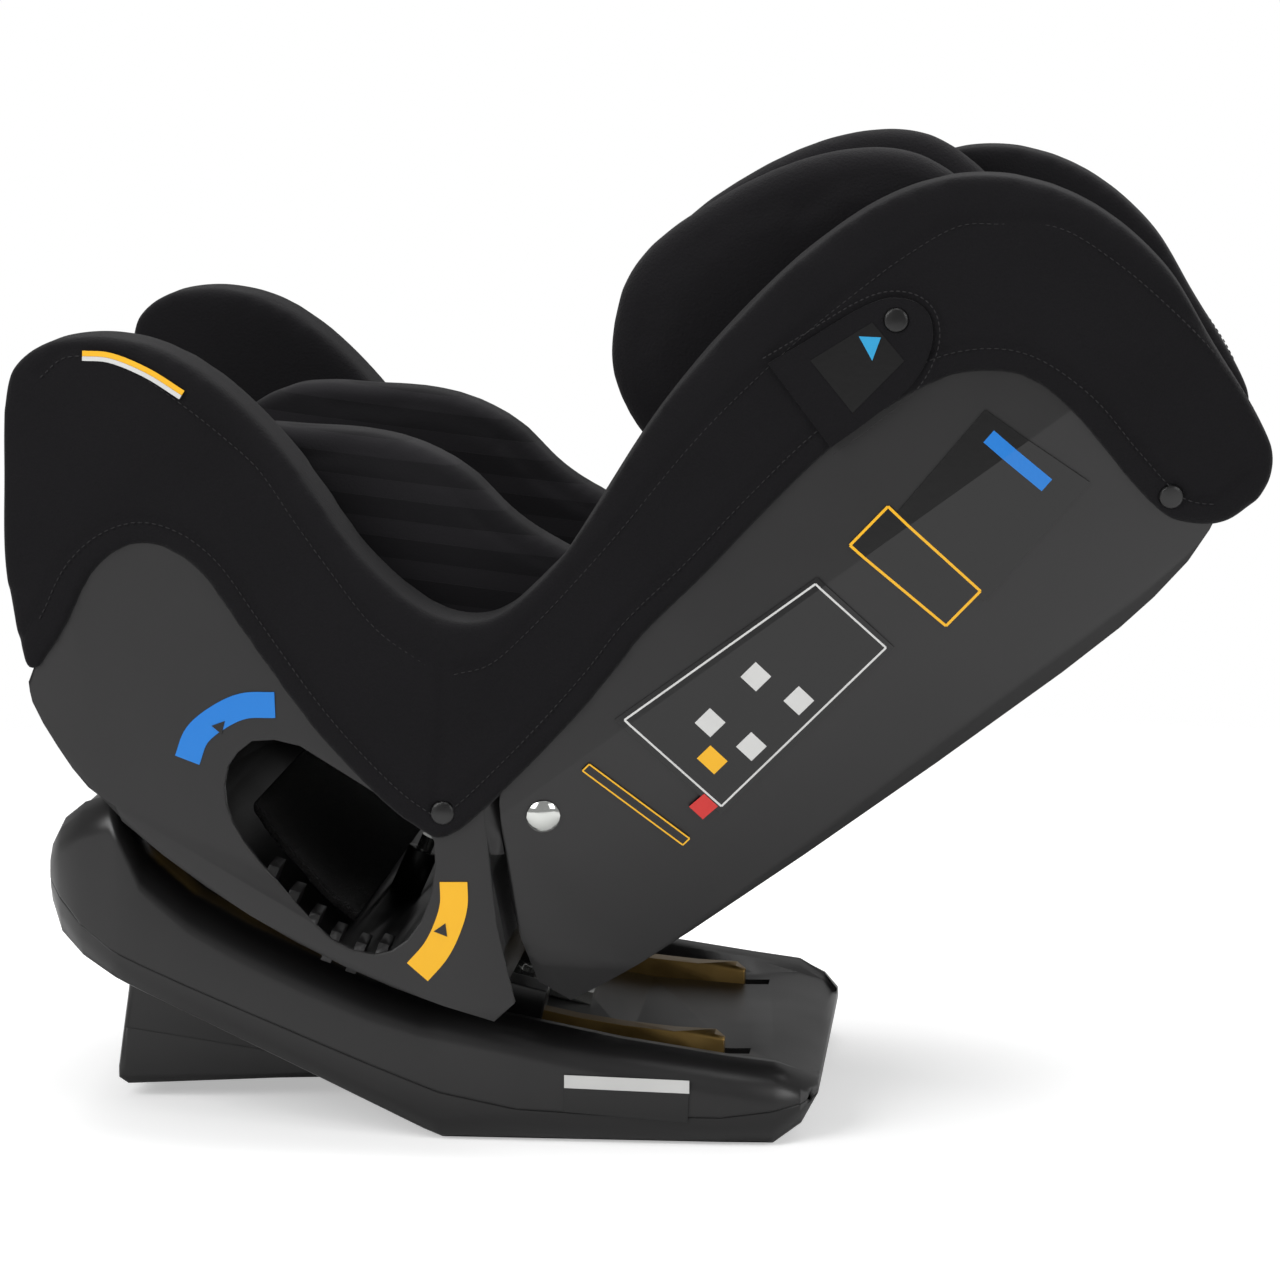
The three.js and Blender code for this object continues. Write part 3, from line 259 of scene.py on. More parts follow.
class Surface(Enum):
    """How a finish is made."""

    KNIT = "knit"
    STRIPED = "striped"
    FUZZ = "fuzz"
    MOULDED = "moulded"
    METAL = "metal"
    WEBBING = "webbing"
    PRINT = "print"


@dataclass(frozen=True)
class Finish:
    """One finish: its colours, gloss and surface."""

    name: str
    slot: str
    surface: Surface
    colour: tuple[float, float, float]
    second: tuple[float, float, float]
    rough: float
    grain: float = 0.0

    def material(self) -> bpy.types.Material:
        """The finish's material, made once."""
        known = bpy.data.materials.get(self.name)
        if known:
            return known
        recipe = Recipe(self.name)
        makers = {
            Surface.KNIT: self._knit, Surface.STRIPED: self._knit, Surface.FUZZ: self._knit,
            Surface.MOULDED: self._moulded, Surface.METAL: self._metal, Surface.WEBBING: self._webbing,
            Surface.PRINT: self._print,
        }
        return makers[self.surface](recipe)

    def _knit(self, r: Recipe) -> bpy.types.Material:
        """Close knit cloth, with woven bands on the striped kind and loose fibres on the fuzzy one."""
        at, x, y, z = r.place()
        loops = r.node("ShaderNodeTexVoronoi", {"Vector": at, "Scale": 620.0}, out="Distance")
        fibre = r.noise(at, 1400.0 if self.surface is not Surface.FUZZ else 240.0, 4.0)
        wear = r.noise(at, 14.0, 3.0)
        share = fibre * 0.55 + wear * 0.45
        height = loops * 0.5 + fibre * 0.5
        distance = self.grain
        if self.surface is Surface.STRIPED:
            level = z + x * 0.12
            broad = (level.wave(0.0235) + level.wave(0.0078) * 0.55).over(0.28)
            share = share * 0.55 + broad * 0.42
            height = height * 0.35 + broad * 0.65
        normal = r.bump(height, distance)
        soft = r.blend(share, self.colour, self.second)
        return r.close(Base_Color=soft, Roughness=self.rough, Normal=normal, Sheen_Weight=0.06,
                Sheen_Roughness=0.4,
                       Specular_IOR_Level=0.12)

    def _moulded(self, r: Recipe) -> bpy.types.Material:
        """Moulded plastic with a fine spark-eroded grain and softened edges."""
        at, _, _, _ = r.place()
        rim = r.node("ShaderNodeBevel", {"Radius": 0.0022}, samples=6)
        pits = r.noise(at, 1500.0, 2.0)
        ripple = r.noise(at, 16.0, 1.0)
        normal = r.bump(pits, self.grain, r.bump(ripple, 0.0007, rim))
        rough = ripple * 0.12 + (self.rough - 0.06)
        tone = r.blend(r.noise(at, 5.0, 3.0), self.colour, self.second)
        return r.close(Base_Color=tone, Roughness=rough, Normal=normal)

    def _metal(self, r: Recipe) -> bpy.types.Material:
        """Bare or plated metal, clouded a little."""
        at, _, _, _ = r.place()
        cloud = r.noise(at, 55.0, 4.0)
        rim = r.node("ShaderNodeBevel", {"Radius": 0.0006}, samples=4)
        normal = r.bump(r.noise(at, 900.0, 2.0), self.grain, rim)
        tone = r.blend(cloud, self.colour, self.second)
        return r.close(Base_Color=tone, Metallic=0.92, Roughness=cloud * 0.25 + (self.rough - 0.1),
                Normal=normal)

    def _webbing(self, r: Recipe) -> bpy.types.Material:
        """Ribbed flat webbing."""
        at, x, y, z = r.place()
        ribs = (x + z).wave(0.0026) * 0.5 + y.wave(0.0032) * 0.5
        tone = r.blend(ribs * 0.5 + 0.5, self.colour, self.second)
        return r.close(Base_Color=tone, Roughness=self.rough, Normal=r.bump(ribs, self.grain),
                Specular_IOR_Level=0.3)

    def _print(self, r: Recipe) -> bpy.types.Material:
        """Printed film."""
        at, _, _, _ = r.place()
        tone = r.blend(r.noise(at, 30.0, 2.0), self.colour, self.second)
        return r.close(Base_Color=tone, Roughness=self.rough,
                Normal=r.bump(r.noise(at, 220.0, 1.0), self.grain))


COVER = Finish("cover_knit", "cover_fabric", Surface.KNIT, (0.0042, 0.0040, 0.0046),
        (0.0090, 0.0084, 0.0096), 0.92, 0.0005)
LINING = Finish("insert_knit", "insert_fabric", Surface.STRIPED, (0.0045, 0.0043, 0.0050),
        (0.0150, 0.0142, 0.0160), 0.9, 0.0006)
PLUSH = Finish("headrest_knit", "cover_fabric", Surface.KNIT, (0.0050, 0.0047, 0.0054),
        (0.0110, 0.0103, 0.0116), 0.95, 0.0006)
FELT = Finish("belt_felt", "cover_fabric", Surface.FUZZ, (0.0035, 0.0033, 0.0035), (0.0160, 0.0150, 0.0150),
        0.97, 0.002)
THREAD = Finish("seam_thread", "cover_fabric", Surface.WEBBING, (0.0120, 0.0115, 0.0125),
        (0.0200, 0.0190, 0.0200), 0.8, 0.0001)
SHELL = Finish("shell_plastic_grained", "shell_plastic", Surface.MOULDED, (0.0070, 0.0066, 0.0069),
        (0.0095, 0.0090, 0.0093), 0.40, 0.00003)
HOUSING = Finish("base_plastic_grained", "base_plastic", Surface.MOULDED, (0.0060, 0.0057, 0.0059),
        (0.0085, 0.0081, 0.0083), 0.34, 0.00003)
TRIM = Finish("trim_plastic", "black_plastic", Surface.MOULDED, (0.0024, 0.0023, 0.0024),
        (0.0038, 0.0036, 0.0038), 0.28, 0.00001)
RAIL = Finish("yellow_passivated_steel", "rail_steel", Surface.METAL, (0.17, 0.100, 0.027),
        (0.32, 0.215, 0.075), 0.36, 0.00004)
BRIGHT = Finish("bright_steel", "bright_steel", Surface.METAL, (0.60, 0.61, 0.58), (0.72, 0.73, 0.70), 0.30,
        0.00002)
STRAP = Finish("harness_webbing", "webbing", Surface.WEBBING, (0.0050, 0.0050, 0.0055),
        (0.0120, 0.0118, 0.0125), 0.85, 0.0004)
RED = Finish("release_red", "red_plastic", Surface.MOULDED, (0.42, 0.018, 0.012), (0.50, 0.025, 0.018),
        0.30, 0.00001)
BLUE_PRINT = Finish("blue_print", "shell_plastic", Surface.PRINT, (0.002, 0.155, 0.530),
        (0.004, 0.170, 0.560), 0.42, 0.00004)
YELLOW_PRINT = Finish("yellow_print", "shell_plastic", Surface.PRINT, (0.760, 0.390, 0.004),
        (0.820, 0.430, 0.006), 0.42, 0.00004)
DARK_PRINT = Finish("dark_print", "shell_plastic", Surface.PRINT, (0.0020, 0.0019, 0.0020),
        (0.0032, 0.0030, 0.0032), 0.22, 0.00004)
WHITE_PRINT = Finish("white_print", "shell_plastic", Surface.PRINT, (0.52, 0.52, 0.51), (0.60, 0.60, 0.59),
        0.42, 0.00003)
RED_PRINT = Finish("red_print", "shell_plastic", Surface.PRINT, (0.50, 0.016, 0.014), (0.56, 0.022, 0.018),
        0.42, 0.00003)
SKY_PRINT = Finish("sky_print", "cover_fabric", Surface.PRINT, (0.010, 0.270, 0.520), (0.014, 0.300, 0.560),
        0.6, 0.00004)


# ---------------------------------------------------------------- meshes
def new_object(name: str, mesh: bpy.types.Mesh) -> bpy.types.Object:
    """Links a mesh into the scene under a name."""
    made = bpy.data.objects.new(name, mesh)
    bpy.context.scene.collection.objects.link(made)
    return made


def from_faces(name: str, points: Sequence[Sequence[float]],
        faces: Sequence[Sequence[int]]) -> bpy.types.Object:
    """Object from points and faces, with its faces turned out."""
    mesh = bpy.data.meshes.new(name)
    mesh.from_pydata([tuple(p) for p in points], [], [tuple(f) for f in faces])
    edit = bmesh.new()
    edit.from_mesh(mesh)
    bmesh.ops.recalc_face_normals(edit, faces=edit.faces)
    edit.to_mesh(mesh)
    edit.free()
    return new_object(name, mesh)


def slab(name: str, outline: np.ndarray, y0: float, y1: float) -> bpy.types.Object:
    """Solid of a closed side-view outline between two Y planes."""
    count = len(outline)
    points = [(x, y0, z) for x, z in outline] + [(x, y1, z) for x, z in outline]
    faces: list[list[int]] = [list(range(count)), list(range(2 * count - 1, count - 1, -1))]
    faces += [[i, (i + 1) % count, count + (i + 1) % count, count + i] for i in range(count)]
    made = from_faces(name, points, faces)
    edit = bmesh.new()
    edit.from_mesh(made.data)
    bmesh.ops.triangulate(edit, faces=[f for f in edit.faces if len(f.verts) > 4])
    edit.to_mesh(made.data)
    edit.free()
    return made


def settle(obj: bpy.types.Object) -> bpy.types.Object:
    """Applies what is stacked on an object to its mesh."""
    bpy.context.view_layer.update()
    graph = bpy.context.evaluated_depsgraph_get()
    mesh = bpy.data.meshes.new_from_object(obj.evaluated_get(graph))
    obj.modifiers.clear()
    obj.data = mesh
    return obj


def coordinates(obj: bpy.types.Object) -> np.ndarray:
    """The mesh's points, one a row."""
    co = np.empty(len(obj.data.vertices) * 3)
    obj.data.vertices.foreach_get("co", co)
    return co.reshape(-1, 3)


def put(obj: bpy.types.Object, co: np.ndarray) -> None:
    """Gives the mesh new points."""
    obj.data.vertices.foreach_set("co", co.ravel())
    obj.data.update()


def normals(obj: bpy.types.Object) -> np.ndarray:
    """The mesh's point normals, one a row."""
    no = np.empty(len(obj.data.vertices) * 3)
    obj.data.vertex_normals.foreach_get("vector", no)
    return no.reshape(-1, 3)


def copied(node: str, name: str) -> bpy.types.Object:
    """Copy of a frame node's mesh with its split corners welded."""
    made = new_object(name, frame["nodes"][node].data.copy())
    edit = bmesh.new()
    edit.from_mesh(made.data)
    bmesh.ops.remove_doubles(edit, verts=edit.verts, dist=2e-6)
    edit.to_mesh(made.data)
    edit.free()
    made.data.materials.clear()
    return made


def smooth(obj: bpy.types.Object, angle: float = 180.0) -> bpy.types.Object:
    """Shades an object smooth, but for edges sharper than an angle in degrees."""
    obj.data.polygons.foreach_set("use_smooth", [True] * len(obj.data.polygons))
    if angle < 180:
        obj.data.set_sharp_from_angle(angle=math.radians(angle))
    return obj


def finish_piece(obj: bpy.types.Object, finish: Finish, body: str,
        replaced: Sequence[str] = ()) -> bpy.types.Object:
    """Dresses a piece, ties it to its body and hides the frame nodes it stands for.

    Args:
        obj: the piece.
        finish: what it is made of.
        body: the frame's body it moves with.
        replaced: frame nodes it stands for.

    Returns:
        The piece.
    """
    if not obj.data.materials:
        obj.data.materials.append(finish.material())
    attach(obj, body)
    if replaced:
        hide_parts(*replaced)
    LOG.info("%s: %d faces, rides on %s", obj.name, len(obj.data.polygons), body)
    return obj


# ---------------------------------------------------------------- soft pieces
@dataclass
class Padding:
    """Turns a closed solid into a stuffed one."""

    voxel: float = 0.005
    shrink: float = 0.003
    cap: float = 0.006
    pressure: float = 4.0
    rounding: int = 6
    frames: int = 20
    kept: float = 0.5

    def stuff(self, obj: bpy.types.Object, keep_y: float = 1.0) -> bpy.types.Object:
        """Remeshes, rounds and inflates a solid.

        Args:
            obj: the solid.
            keep_y: share of the sideways swelling that is kept.

        Returns:
            The same object, swollen and subdivided once.
        """
        remesh = obj.modifiers.new("even", "REMESH")
        remesh.mode = "VOXEL"
        remesh.voxel_size = self.voxel
        settle(obj)
        put(obj, coordinates(obj) - normals(obj) * self.shrink)
        ease = obj.modifiers.new("ease", "SMOOTH")
        ease.iterations = self.rounding
        ease.factor = 0.5
        settle(obj)
        self._inflate(obj, keep_y)
        finer = obj.modifiers.new("finer", "SUBSURF")
        finer.levels = finer.render_levels = 1
        settle(obj)
        return smooth(obj)

    def _inflate(self, obj: bpy.types.Object, keep_y: float) -> None:
        """Blows the skin up as cloth, then caps how far it went."""
        scene = bpy.context.scene
        before, facing = coordinates(obj), normals(obj)
        cloth = obj.modifiers.new("skin", "CLOTH")
        cloth.settings.use_pressure = True
        cloth.settings.uniform_pressure_force = self.pressure
        cloth.settings.quality = 4
        cloth.settings.tension_stiffness = 12
        cloth.settings.compression_stiffness = 12
        cloth.settings.bending_stiffness = 1.2
        cloth.settings.effector_weights.gravity = 0
        cloth.collision_settings.use_collision = False
        cloth.point_cache.frame_start = 1
        cloth.point_cache.frame_end = self.frames
        for at in range(1, self.frames + 1):
            scene.frame_set(at)
        settle(obj)
        scene.frame_set(1)
        moved = coordinates(obj) - before
        far = np.linalg.norm(moved, axis=1)
        moved *= np.minimum(1, self.cap / np.maximum(far, 1e-9))[:, None]
        moved -= facing * np.minimum((moved * facing).sum(axis=1), 0)[:, None]
        moved[:, 1] *= keep_y
        put(obj, before + facing * self.shrink + moved * self.kept)


@dataclass
class Seam:
    """A sewn line pressed into one face of a pad."""

    line: np.ndarray
    depth: float = 0.0016
    width: float = 0.0028

    def press(self, obj: bpy.types.Object, side: int, face_from: float) -> None:
        """Sinks the pad's skin along the line, on the face that looks to a side."""
        co = coordinates(obj)
        near = reach(co[:, [0, 2]], self.line)
        outer = (co[:, 1] * side > face_from * lean(co[:, [0, 2]])).astype(float)
        co[:, 1] -= side * outer * self.depth * np.exp(-((near / self.width) ** 2))
        put(obj, co)


class Stitcher:
    """Lays rows of small stitches along lines."""

    def __init__(self) -> None:
        """Builds the row-of-stitches node tree."""
        tree = bpy.data.node_groups.new("stitch_row", "GeometryNodeTree")
        face = tree.interface
        face.new_socket("Geometry", in_out="INPUT", socket_type="NodeSocketGeometry")
        face.new_socket("Spacing", in_out="INPUT", socket_type="NodeSocketFloat")
        face.new_socket("Stitch Length", in_out="INPUT", socket_type="NodeSocketFloat")
        face.new_socket("Thickness", in_out="INPUT", socket_type="NodeSocketFloat")
        face.new_socket("Thread", in_out="INPUT", socket_type="NodeSocketMaterial")
        face.new_socket("Geometry", in_out="OUTPUT", socket_type="NodeSocketGeometry")
        nodes, links = tree.nodes, tree.links
        given, made = nodes.new("NodeGroupInput"), nodes.new("NodeGroupOutput")
        spread = nodes.new("GeometryNodeCurveToPoints")
        spread.mode = "LENGTH"
        bead = nodes.new("GeometryNodeMeshUVSphere")
        bead.inputs["Segments"].default_value = 6
        bead.inputs["Rings"].default_value = 4
        bead.inputs["Radius"].default_value = 0.5
        size = nodes.new("ShaderNodeCombineXYZ")
        place = nodes.new("GeometryNodeInstanceOnPoints")
        real = nodes.new("GeometryNodeRealizeInstances")
        dress = nodes.new("GeometryNodeSetMaterial")
        links.new(given.outputs["Geometry"], spread.inputs["Curve"])
        links.new(given.outputs["Spacing"], spread.inputs["Length"])
        links.new(given.outputs["Thickness"], size.inputs[0])
        links.new(given.outputs["Thickness"], size.inputs[1])
        links.new(given.outputs["Stitch Length"], size.inputs[2])
        links.new(spread.outputs["Points"], place.inputs["Points"])
        links.new(spread.outputs["Rotation"], place.inputs["Rotation"])
        links.new(bead.outputs["Mesh"], place.inputs["Instance"])
        links.new(size.outputs[0], place.inputs["Scale"])
        links.new(place.outputs["Instances"], real.inputs["Geometry"])
        links.new(real.outputs["Geometry"], dress.inputs["Geometry"])
        links.new(given.outputs["Thread"], dress.inputs["Material"])
        links.new(dress.outputs["Geometry"], made.inputs["Geometry"])
        self.tree = tree

    def sew(self, name: str, rows: Sequence[np.ndarray], body: str, thread: Finish = THREAD,
            spacing: float = 0.0042,
            length: float = 0.0030, thickness: float = 0.0008) -> bpy.types.Object:
        """Makes rows of stitches as one piece.

        Args:
            name: the piece's name.
            rows: lines in space that the rows follow.
            body: the frame's body that they move with.
            thread: the thread's finish.
            spacing: distance from stitch to stitch.
            length: length of one stitch.
            thickness: thickness of the thread.

        Returns:
            The piece.
        """
        curve = bpy.data.curves.new(name, "CURVE")
        curve.dimensions = "3D"
        for row in rows:
            spline = curve.splines.new("POLY")
            spline.points.add(len(row) - 1)
            spline.points.foreach_set("co", np.column_stack([row, np.ones(len(row))]).ravel())
        holder = bpy.data.objects.new(name + "_line", curve)
        bpy.context.scene.collection.objects.link(holder)
        nodes = holder.modifiers.new("row", "NODES")
        nodes.node_group = self.tree
        names = {item.name: item.identifier for item in self.tree.interface.items_tree if item.in_out == "INPUT"}
        nodes[names["Spacing"]] = spacing
        nodes[names["Stitch Length"]] = length
        nodes[names["Thickness"]] = thickness
        nodes[names["Thread"]] = thread.material()
        bpy.context.view_layer.update()
        graph = bpy.context.evaluated_depsgraph_get()
        mesh = bpy.data.meshes.new_from_object(holder.evaluated_get(graph))
        bpy.data.objects.remove(holder)
        made = smooth(new_object(name, mesh))
        return finish_piece(made, thread, body)


@dataclass
class SideCover:
    """A padded side: wings, bight and hem, on one side of the seat."""

    name: str
    side: int
    hem_width: float = 0.016

    def top_line(self) -> np.ndarray:
        """Side-view line over the wings, from the front hem to the rear one."""
        f, t = PAN_DEPTH * 1000, BACK_LENGTH * 1000
        places = [(256, -100), (270, -88), (305, -48), (f - 29, -7), (f - 11, 23), (f, 46), (f - 1, 60),
                (f - 9, 76), (f - 35, 97),
                  (f - 69, 108), (f - 107, 108), (208, 99), (170, 85), (127, 68), (76, 61)]
        rise = [(47, 72), (64, 67), (87, 68), (112, 73), (152, 87), (189, 102), (218, 112), (271, 124),
                (t - 167, 133),
                (t - 110, 132), (t - 68, 119), (t - 38, 96), (t - 13, 58), (t, 5), (t - 4, -48),
                (t - 8, -100), (t - 14, -124),
                (t - 31, -138)]
        return flow([pan(*p) for p in places] + [back(*p) for p in rise], 6)

    def hem_line(self) -> np.ndarray:
        """Side-view line of the hem, from the rear corner to the front one."""
        t = BACK_LENGTH * 1000
        rear = [(t - 31, -138), (t - 60, -138), (t - 74, -128), (t - 83, -114), (t - 88, -74),
                (t - 91, -31), (t - 106, 6),
                (t - 133, 25), (t - 169, 32), (280, 33), (224, 25), (172, 15), (124, 8), (86, -3),
                (18, -17), (-36, -23), (-47, -20)]
        front = [(12, -52), (32, -51), (69, -43), (107, -31), (167, -6), (201, 8), (223, 10), (240, 5),
                (252, -9), (258, -31),
                 (255, -62), (256, -100)]
        return flow([back(*p) for p in rear] + [pan(*p) for p in front], 6)

    def boxing_lines(self) -> list[np.ndarray]:
        """Side-view lines where the outer panel is sewn to the rim, and the seam through the bight."""
        front = [(-336, 473), (-323, 484), (-307, 486), (-287, 482), (-248, 457), (-219, 434), (-203, 419),
                (-181, 387), (-163, 362),
                 (-134, 325), (-106, 305)]
        rear = [(-90, 300), (-72, 305), (-51, 323), (-4, 374), (55, 445), (113, 501), (141, 524),
                (170, 546), (204, 565), (227, 566),
                (262, 564), (296, 544), (325, 520), (354, 491), (375, 462), (381, 451)]
        bight = [(-98, 302), (-97, 278), (-99, 250), (-103, 216)]
        return [flow([drawn(*p) for p in line], 5) for line in (front, rear, bight)]

    def on_face(self, line: np.ndarray, proud: float) -> np.ndarray:
        """A side-view line laid on the cover's outer face."""
        y = self.side * (OUTER * lean(line) + proud)
        return np.column_stack([line[:, 0], y, line[:, 1]])

    def build(self, stitcher: Stitcher) -> None:
        """Makes the cover and its stitching."""
        outline = even(np.vstack([self.top_line()[:-1], self.hem_line()[:-1]]), 0.006, closed=True)
        y0, y1 = sorted((self.side * INNER, self.side * OUTER))
        pad = slab(f"padded_side_{self.name}", outline, y0, y1)
        Padding(voxel=0.0055, shrink=0.0025, cap=0.0045, rounding=5).stuff(pad, keep_y=0.5)
        co = coordinates(pad)
        xz = co[:, [0, 2]]
        outer = np.clip((co[:, 1] * self.side - (OUTER - 0.012)) / 0.010, 0, 1)
        hem = even(self.hem_line(), 0.006)
        from_hem = reach(xz, hem)
        band = 1 / (1 + np.exp((from_hem - self.hem_width) / 0.0007))
        co[:, 1] += self.side * outer * 0.0011 * band
        co[:, 1] = np.clip(co[:, 1], -OUTER - 0.0012, OUTER + 0.0012)
        drift = (np.sin(xz[:, 0] * 41 + 1.3) * np.sin(xz[:, 1] * 37 + 0.4)
                 + 0.5 * np.sin(xz[:, 0] * 93 + xz[:, 1] * 71))
        co[:, 1] -= self.side * outer * 0.0006 * (drift + 1)
        co[:, 1] *= lean(xz)
        put(pad, co)
        for line in self.boxing_lines():
            Seam(even(line, 0.004)).press(pad, self.side, OUTER - 0.02)
        Seam(even(inset(hem, -self.hem_width - 0.001), 0.004), 0.0012, 0.0022).press(pad, self.side,
                OUTER - 0.02)
        finish_piece(smooth(pad), COVER, "seat", [f"side_cover_{self.name}"])
        rows = [self.on_face(inset(hem, -self.hem_width + 0.0025)[6:-6], 0.0013)]
        rows += [self.on_face(inset(even(line, 0.004), -0.0035), 0.0002) for line in self.boxing_lines()[:2]]
        stitcher.sew(f"side_stitching_{self.name}", rows, "seat")


@dataclass
class SideFlap:
    """The small snapped flap on a padded side."""

    name: str
    side: int

    def build(self, stitcher: Stitcher) -> None:
        """Makes the flap, its patch and its stitching."""
        places = [(279, 95), (300, 93), (345, 89), (359, 84), (369, 74), (371, 63), (363, 49), (342, 37),
                (310, 34), (280, 34)]
        line = even(flow([back(*p) for p in places], 6), 0.003)
        y0, y1 = sorted((self.side * (OUTER + 0.0006), self.side * (OUTER + 0.0026)))
        flap = slab(f"snapped_flap_{self.name}", line, y0, y1)
        soften = flap.modifiers.new("rim", "BEVEL")
        soften.width = 0.0007
        soften.segments = 2
        soften.limit_method = "ANGLE"
        soften.angle_limit = math.radians(50)
        finish_piece(smooth(settle(flap), 40), COVER, "flap_" + self.name, [f"side_flap_{self.name}"])
        face = self.side * (OUTER + 0.0027)
        edge = inset(line, 0.004)
        stitcher.sew(f"flap_stitching_{self.name}", [np.column_stack([edge[:, 0], np.full(len(edge), face),
                edge[:, 1]])],
                     "flap_" + self.name, spacing=0.0036, length=0.0026)
        patch = Print(f"flap_patch_{self.name}", self.side, "flap_" + self.name, OUTER + 0.0027,
                leaning=False)
        patch.sheet([back(300, 82), back(342, 79), back(344, 50), back(302, 43)], DARK_PRINT)
        patch.sheet([back(331, 77), back(341, 69), back(329, 61)], SKY_PRINT, 1)
        patch.close()


class Print:
    """Thin printed film laid on a side of the object, in layers."""

    def __init__(self, name: str, side: int, body: str, face: float, leaning: bool = True,
            slot: str = "shell_plastic") -> None:
        """Starts an empty film on a face at a distance from the middle plane."""
        self.name, self.side, self.body = name, side, body
        self.face, self.leaning, self.slot = face, leaning, slot
        self.points: list[tuple[float, float, float]] = []
        self.faces: list[tuple[int, ...]] = []
        self.looks: list[Finish] = []
        self.which: list[int] = []

    def sheet(self, outline: Sequence[Point], finish: Finish, layer: int = 0) -> None:
        """Adds a closed flat shape; a higher layer lies over a lower one."""
        line = np.array(outline, float)
        if finish not in self.looks:
            self.looks.append(finish)
        count, first = len(line), len(self.points)
        for lift in (0.00002, 0.00025 + 0.00012 * layer + 0.000002 * first):
            self.points += [(x, self.side * (self.face + lift), z) for x, z in line]
        self.faces += [tuple(range(first, first + count)),
                tuple(range(first + 2 * count - 1, first + count - 1, -1))]
        self.faces += [(first + i, first + (i + 1) % count, first + count + (i + 1) % count,
                first + count + i) for i in range(count)]
        self.which += [self.looks.index(finish)] * (count + 2)

    def band(self, line: np.ndarray, width: float, finish: Finish, layer: int = 0) -> None:
        """Adds a strip of even width along an open line, in convex lengths."""
        low, high = inset(line, -width / 2), inset(line, width / 2)
        for i in range(len(line) - 1):
            self.sheet([low[i], low[i + 1], high[i + 1], high[i]], finish, layer)

    def frame(self, corners: Sequence[Point], width: float, finish: Finish, layer: int = 1) -> None:
        """Adds the outline of a four-cornered box as four bars."""
        for i in range(4):
            a, b = np.array(corners[i]), np.array(corners[(i + 1) % 4])
            along = (b - a) / np.linalg.norm(b - a)
            across = np.array([-along[1], along[0]]) * width / 2
            self.sheet([a - across, b - across, b + across, a + across], finish, layer)

    def close(self) -> bpy.types.Object:
        """Makes the film."""
        made = from_faces(self.name, self.points, self.faces)
        for finish in self.looks:
            made.data.materials.append(finish.material())
        made.data.polygons.foreach_set("material_index", self.which)
        if self.leaning:
            self._lean_back(made)
        finish_piece(made, self.looks[0], self.body)
        return made

    @staticmethod
    def _lean_back(made: bpy.types.Object) -> None:
        """Folds the film where the side begins to lean in."""
        x, z = back(0, LEAN_FROM * 1000)
        edit = bmesh.new()
        edit.from_mesh(made.data)
        everything = [*edit.verts, *edit.edges, *edit.faces]
        bmesh.ops.bisect_plane(edit, geom=everything, plane_co=(x, 0, z),
                               plane_no=(-math.sin(BACK_ANGLE), 0, math.cos(BACK_ANGLE)))
        edit.to_mesh(made.data)
        edit.free()
        co = coordinates(made)
        co[:, 1] *= lean(co[:, [0, 2]])
        put(made, co)


class SewnTag:
    """Blank folded tag sewn into the rim of the front wing."""

    def build(self) -> None:
        """Makes the tag on the child's left."""
        tag = Print("sewn_tag_left", -1, "seat", OUTER + 0.0003, leaning=False, slot="cover_fabric")
        top = flow([drawn(*p) for p in ((-309, 485), (-293, 484), (-270, 475), (-249, 462))], 5)
        tag.band(inset(top, -0.0008), 0.0032, YELLOW_PRINT)
        tag.band(inset(top, -0.0038), 0.0026, WHITE_PRINT)
        tag.close()


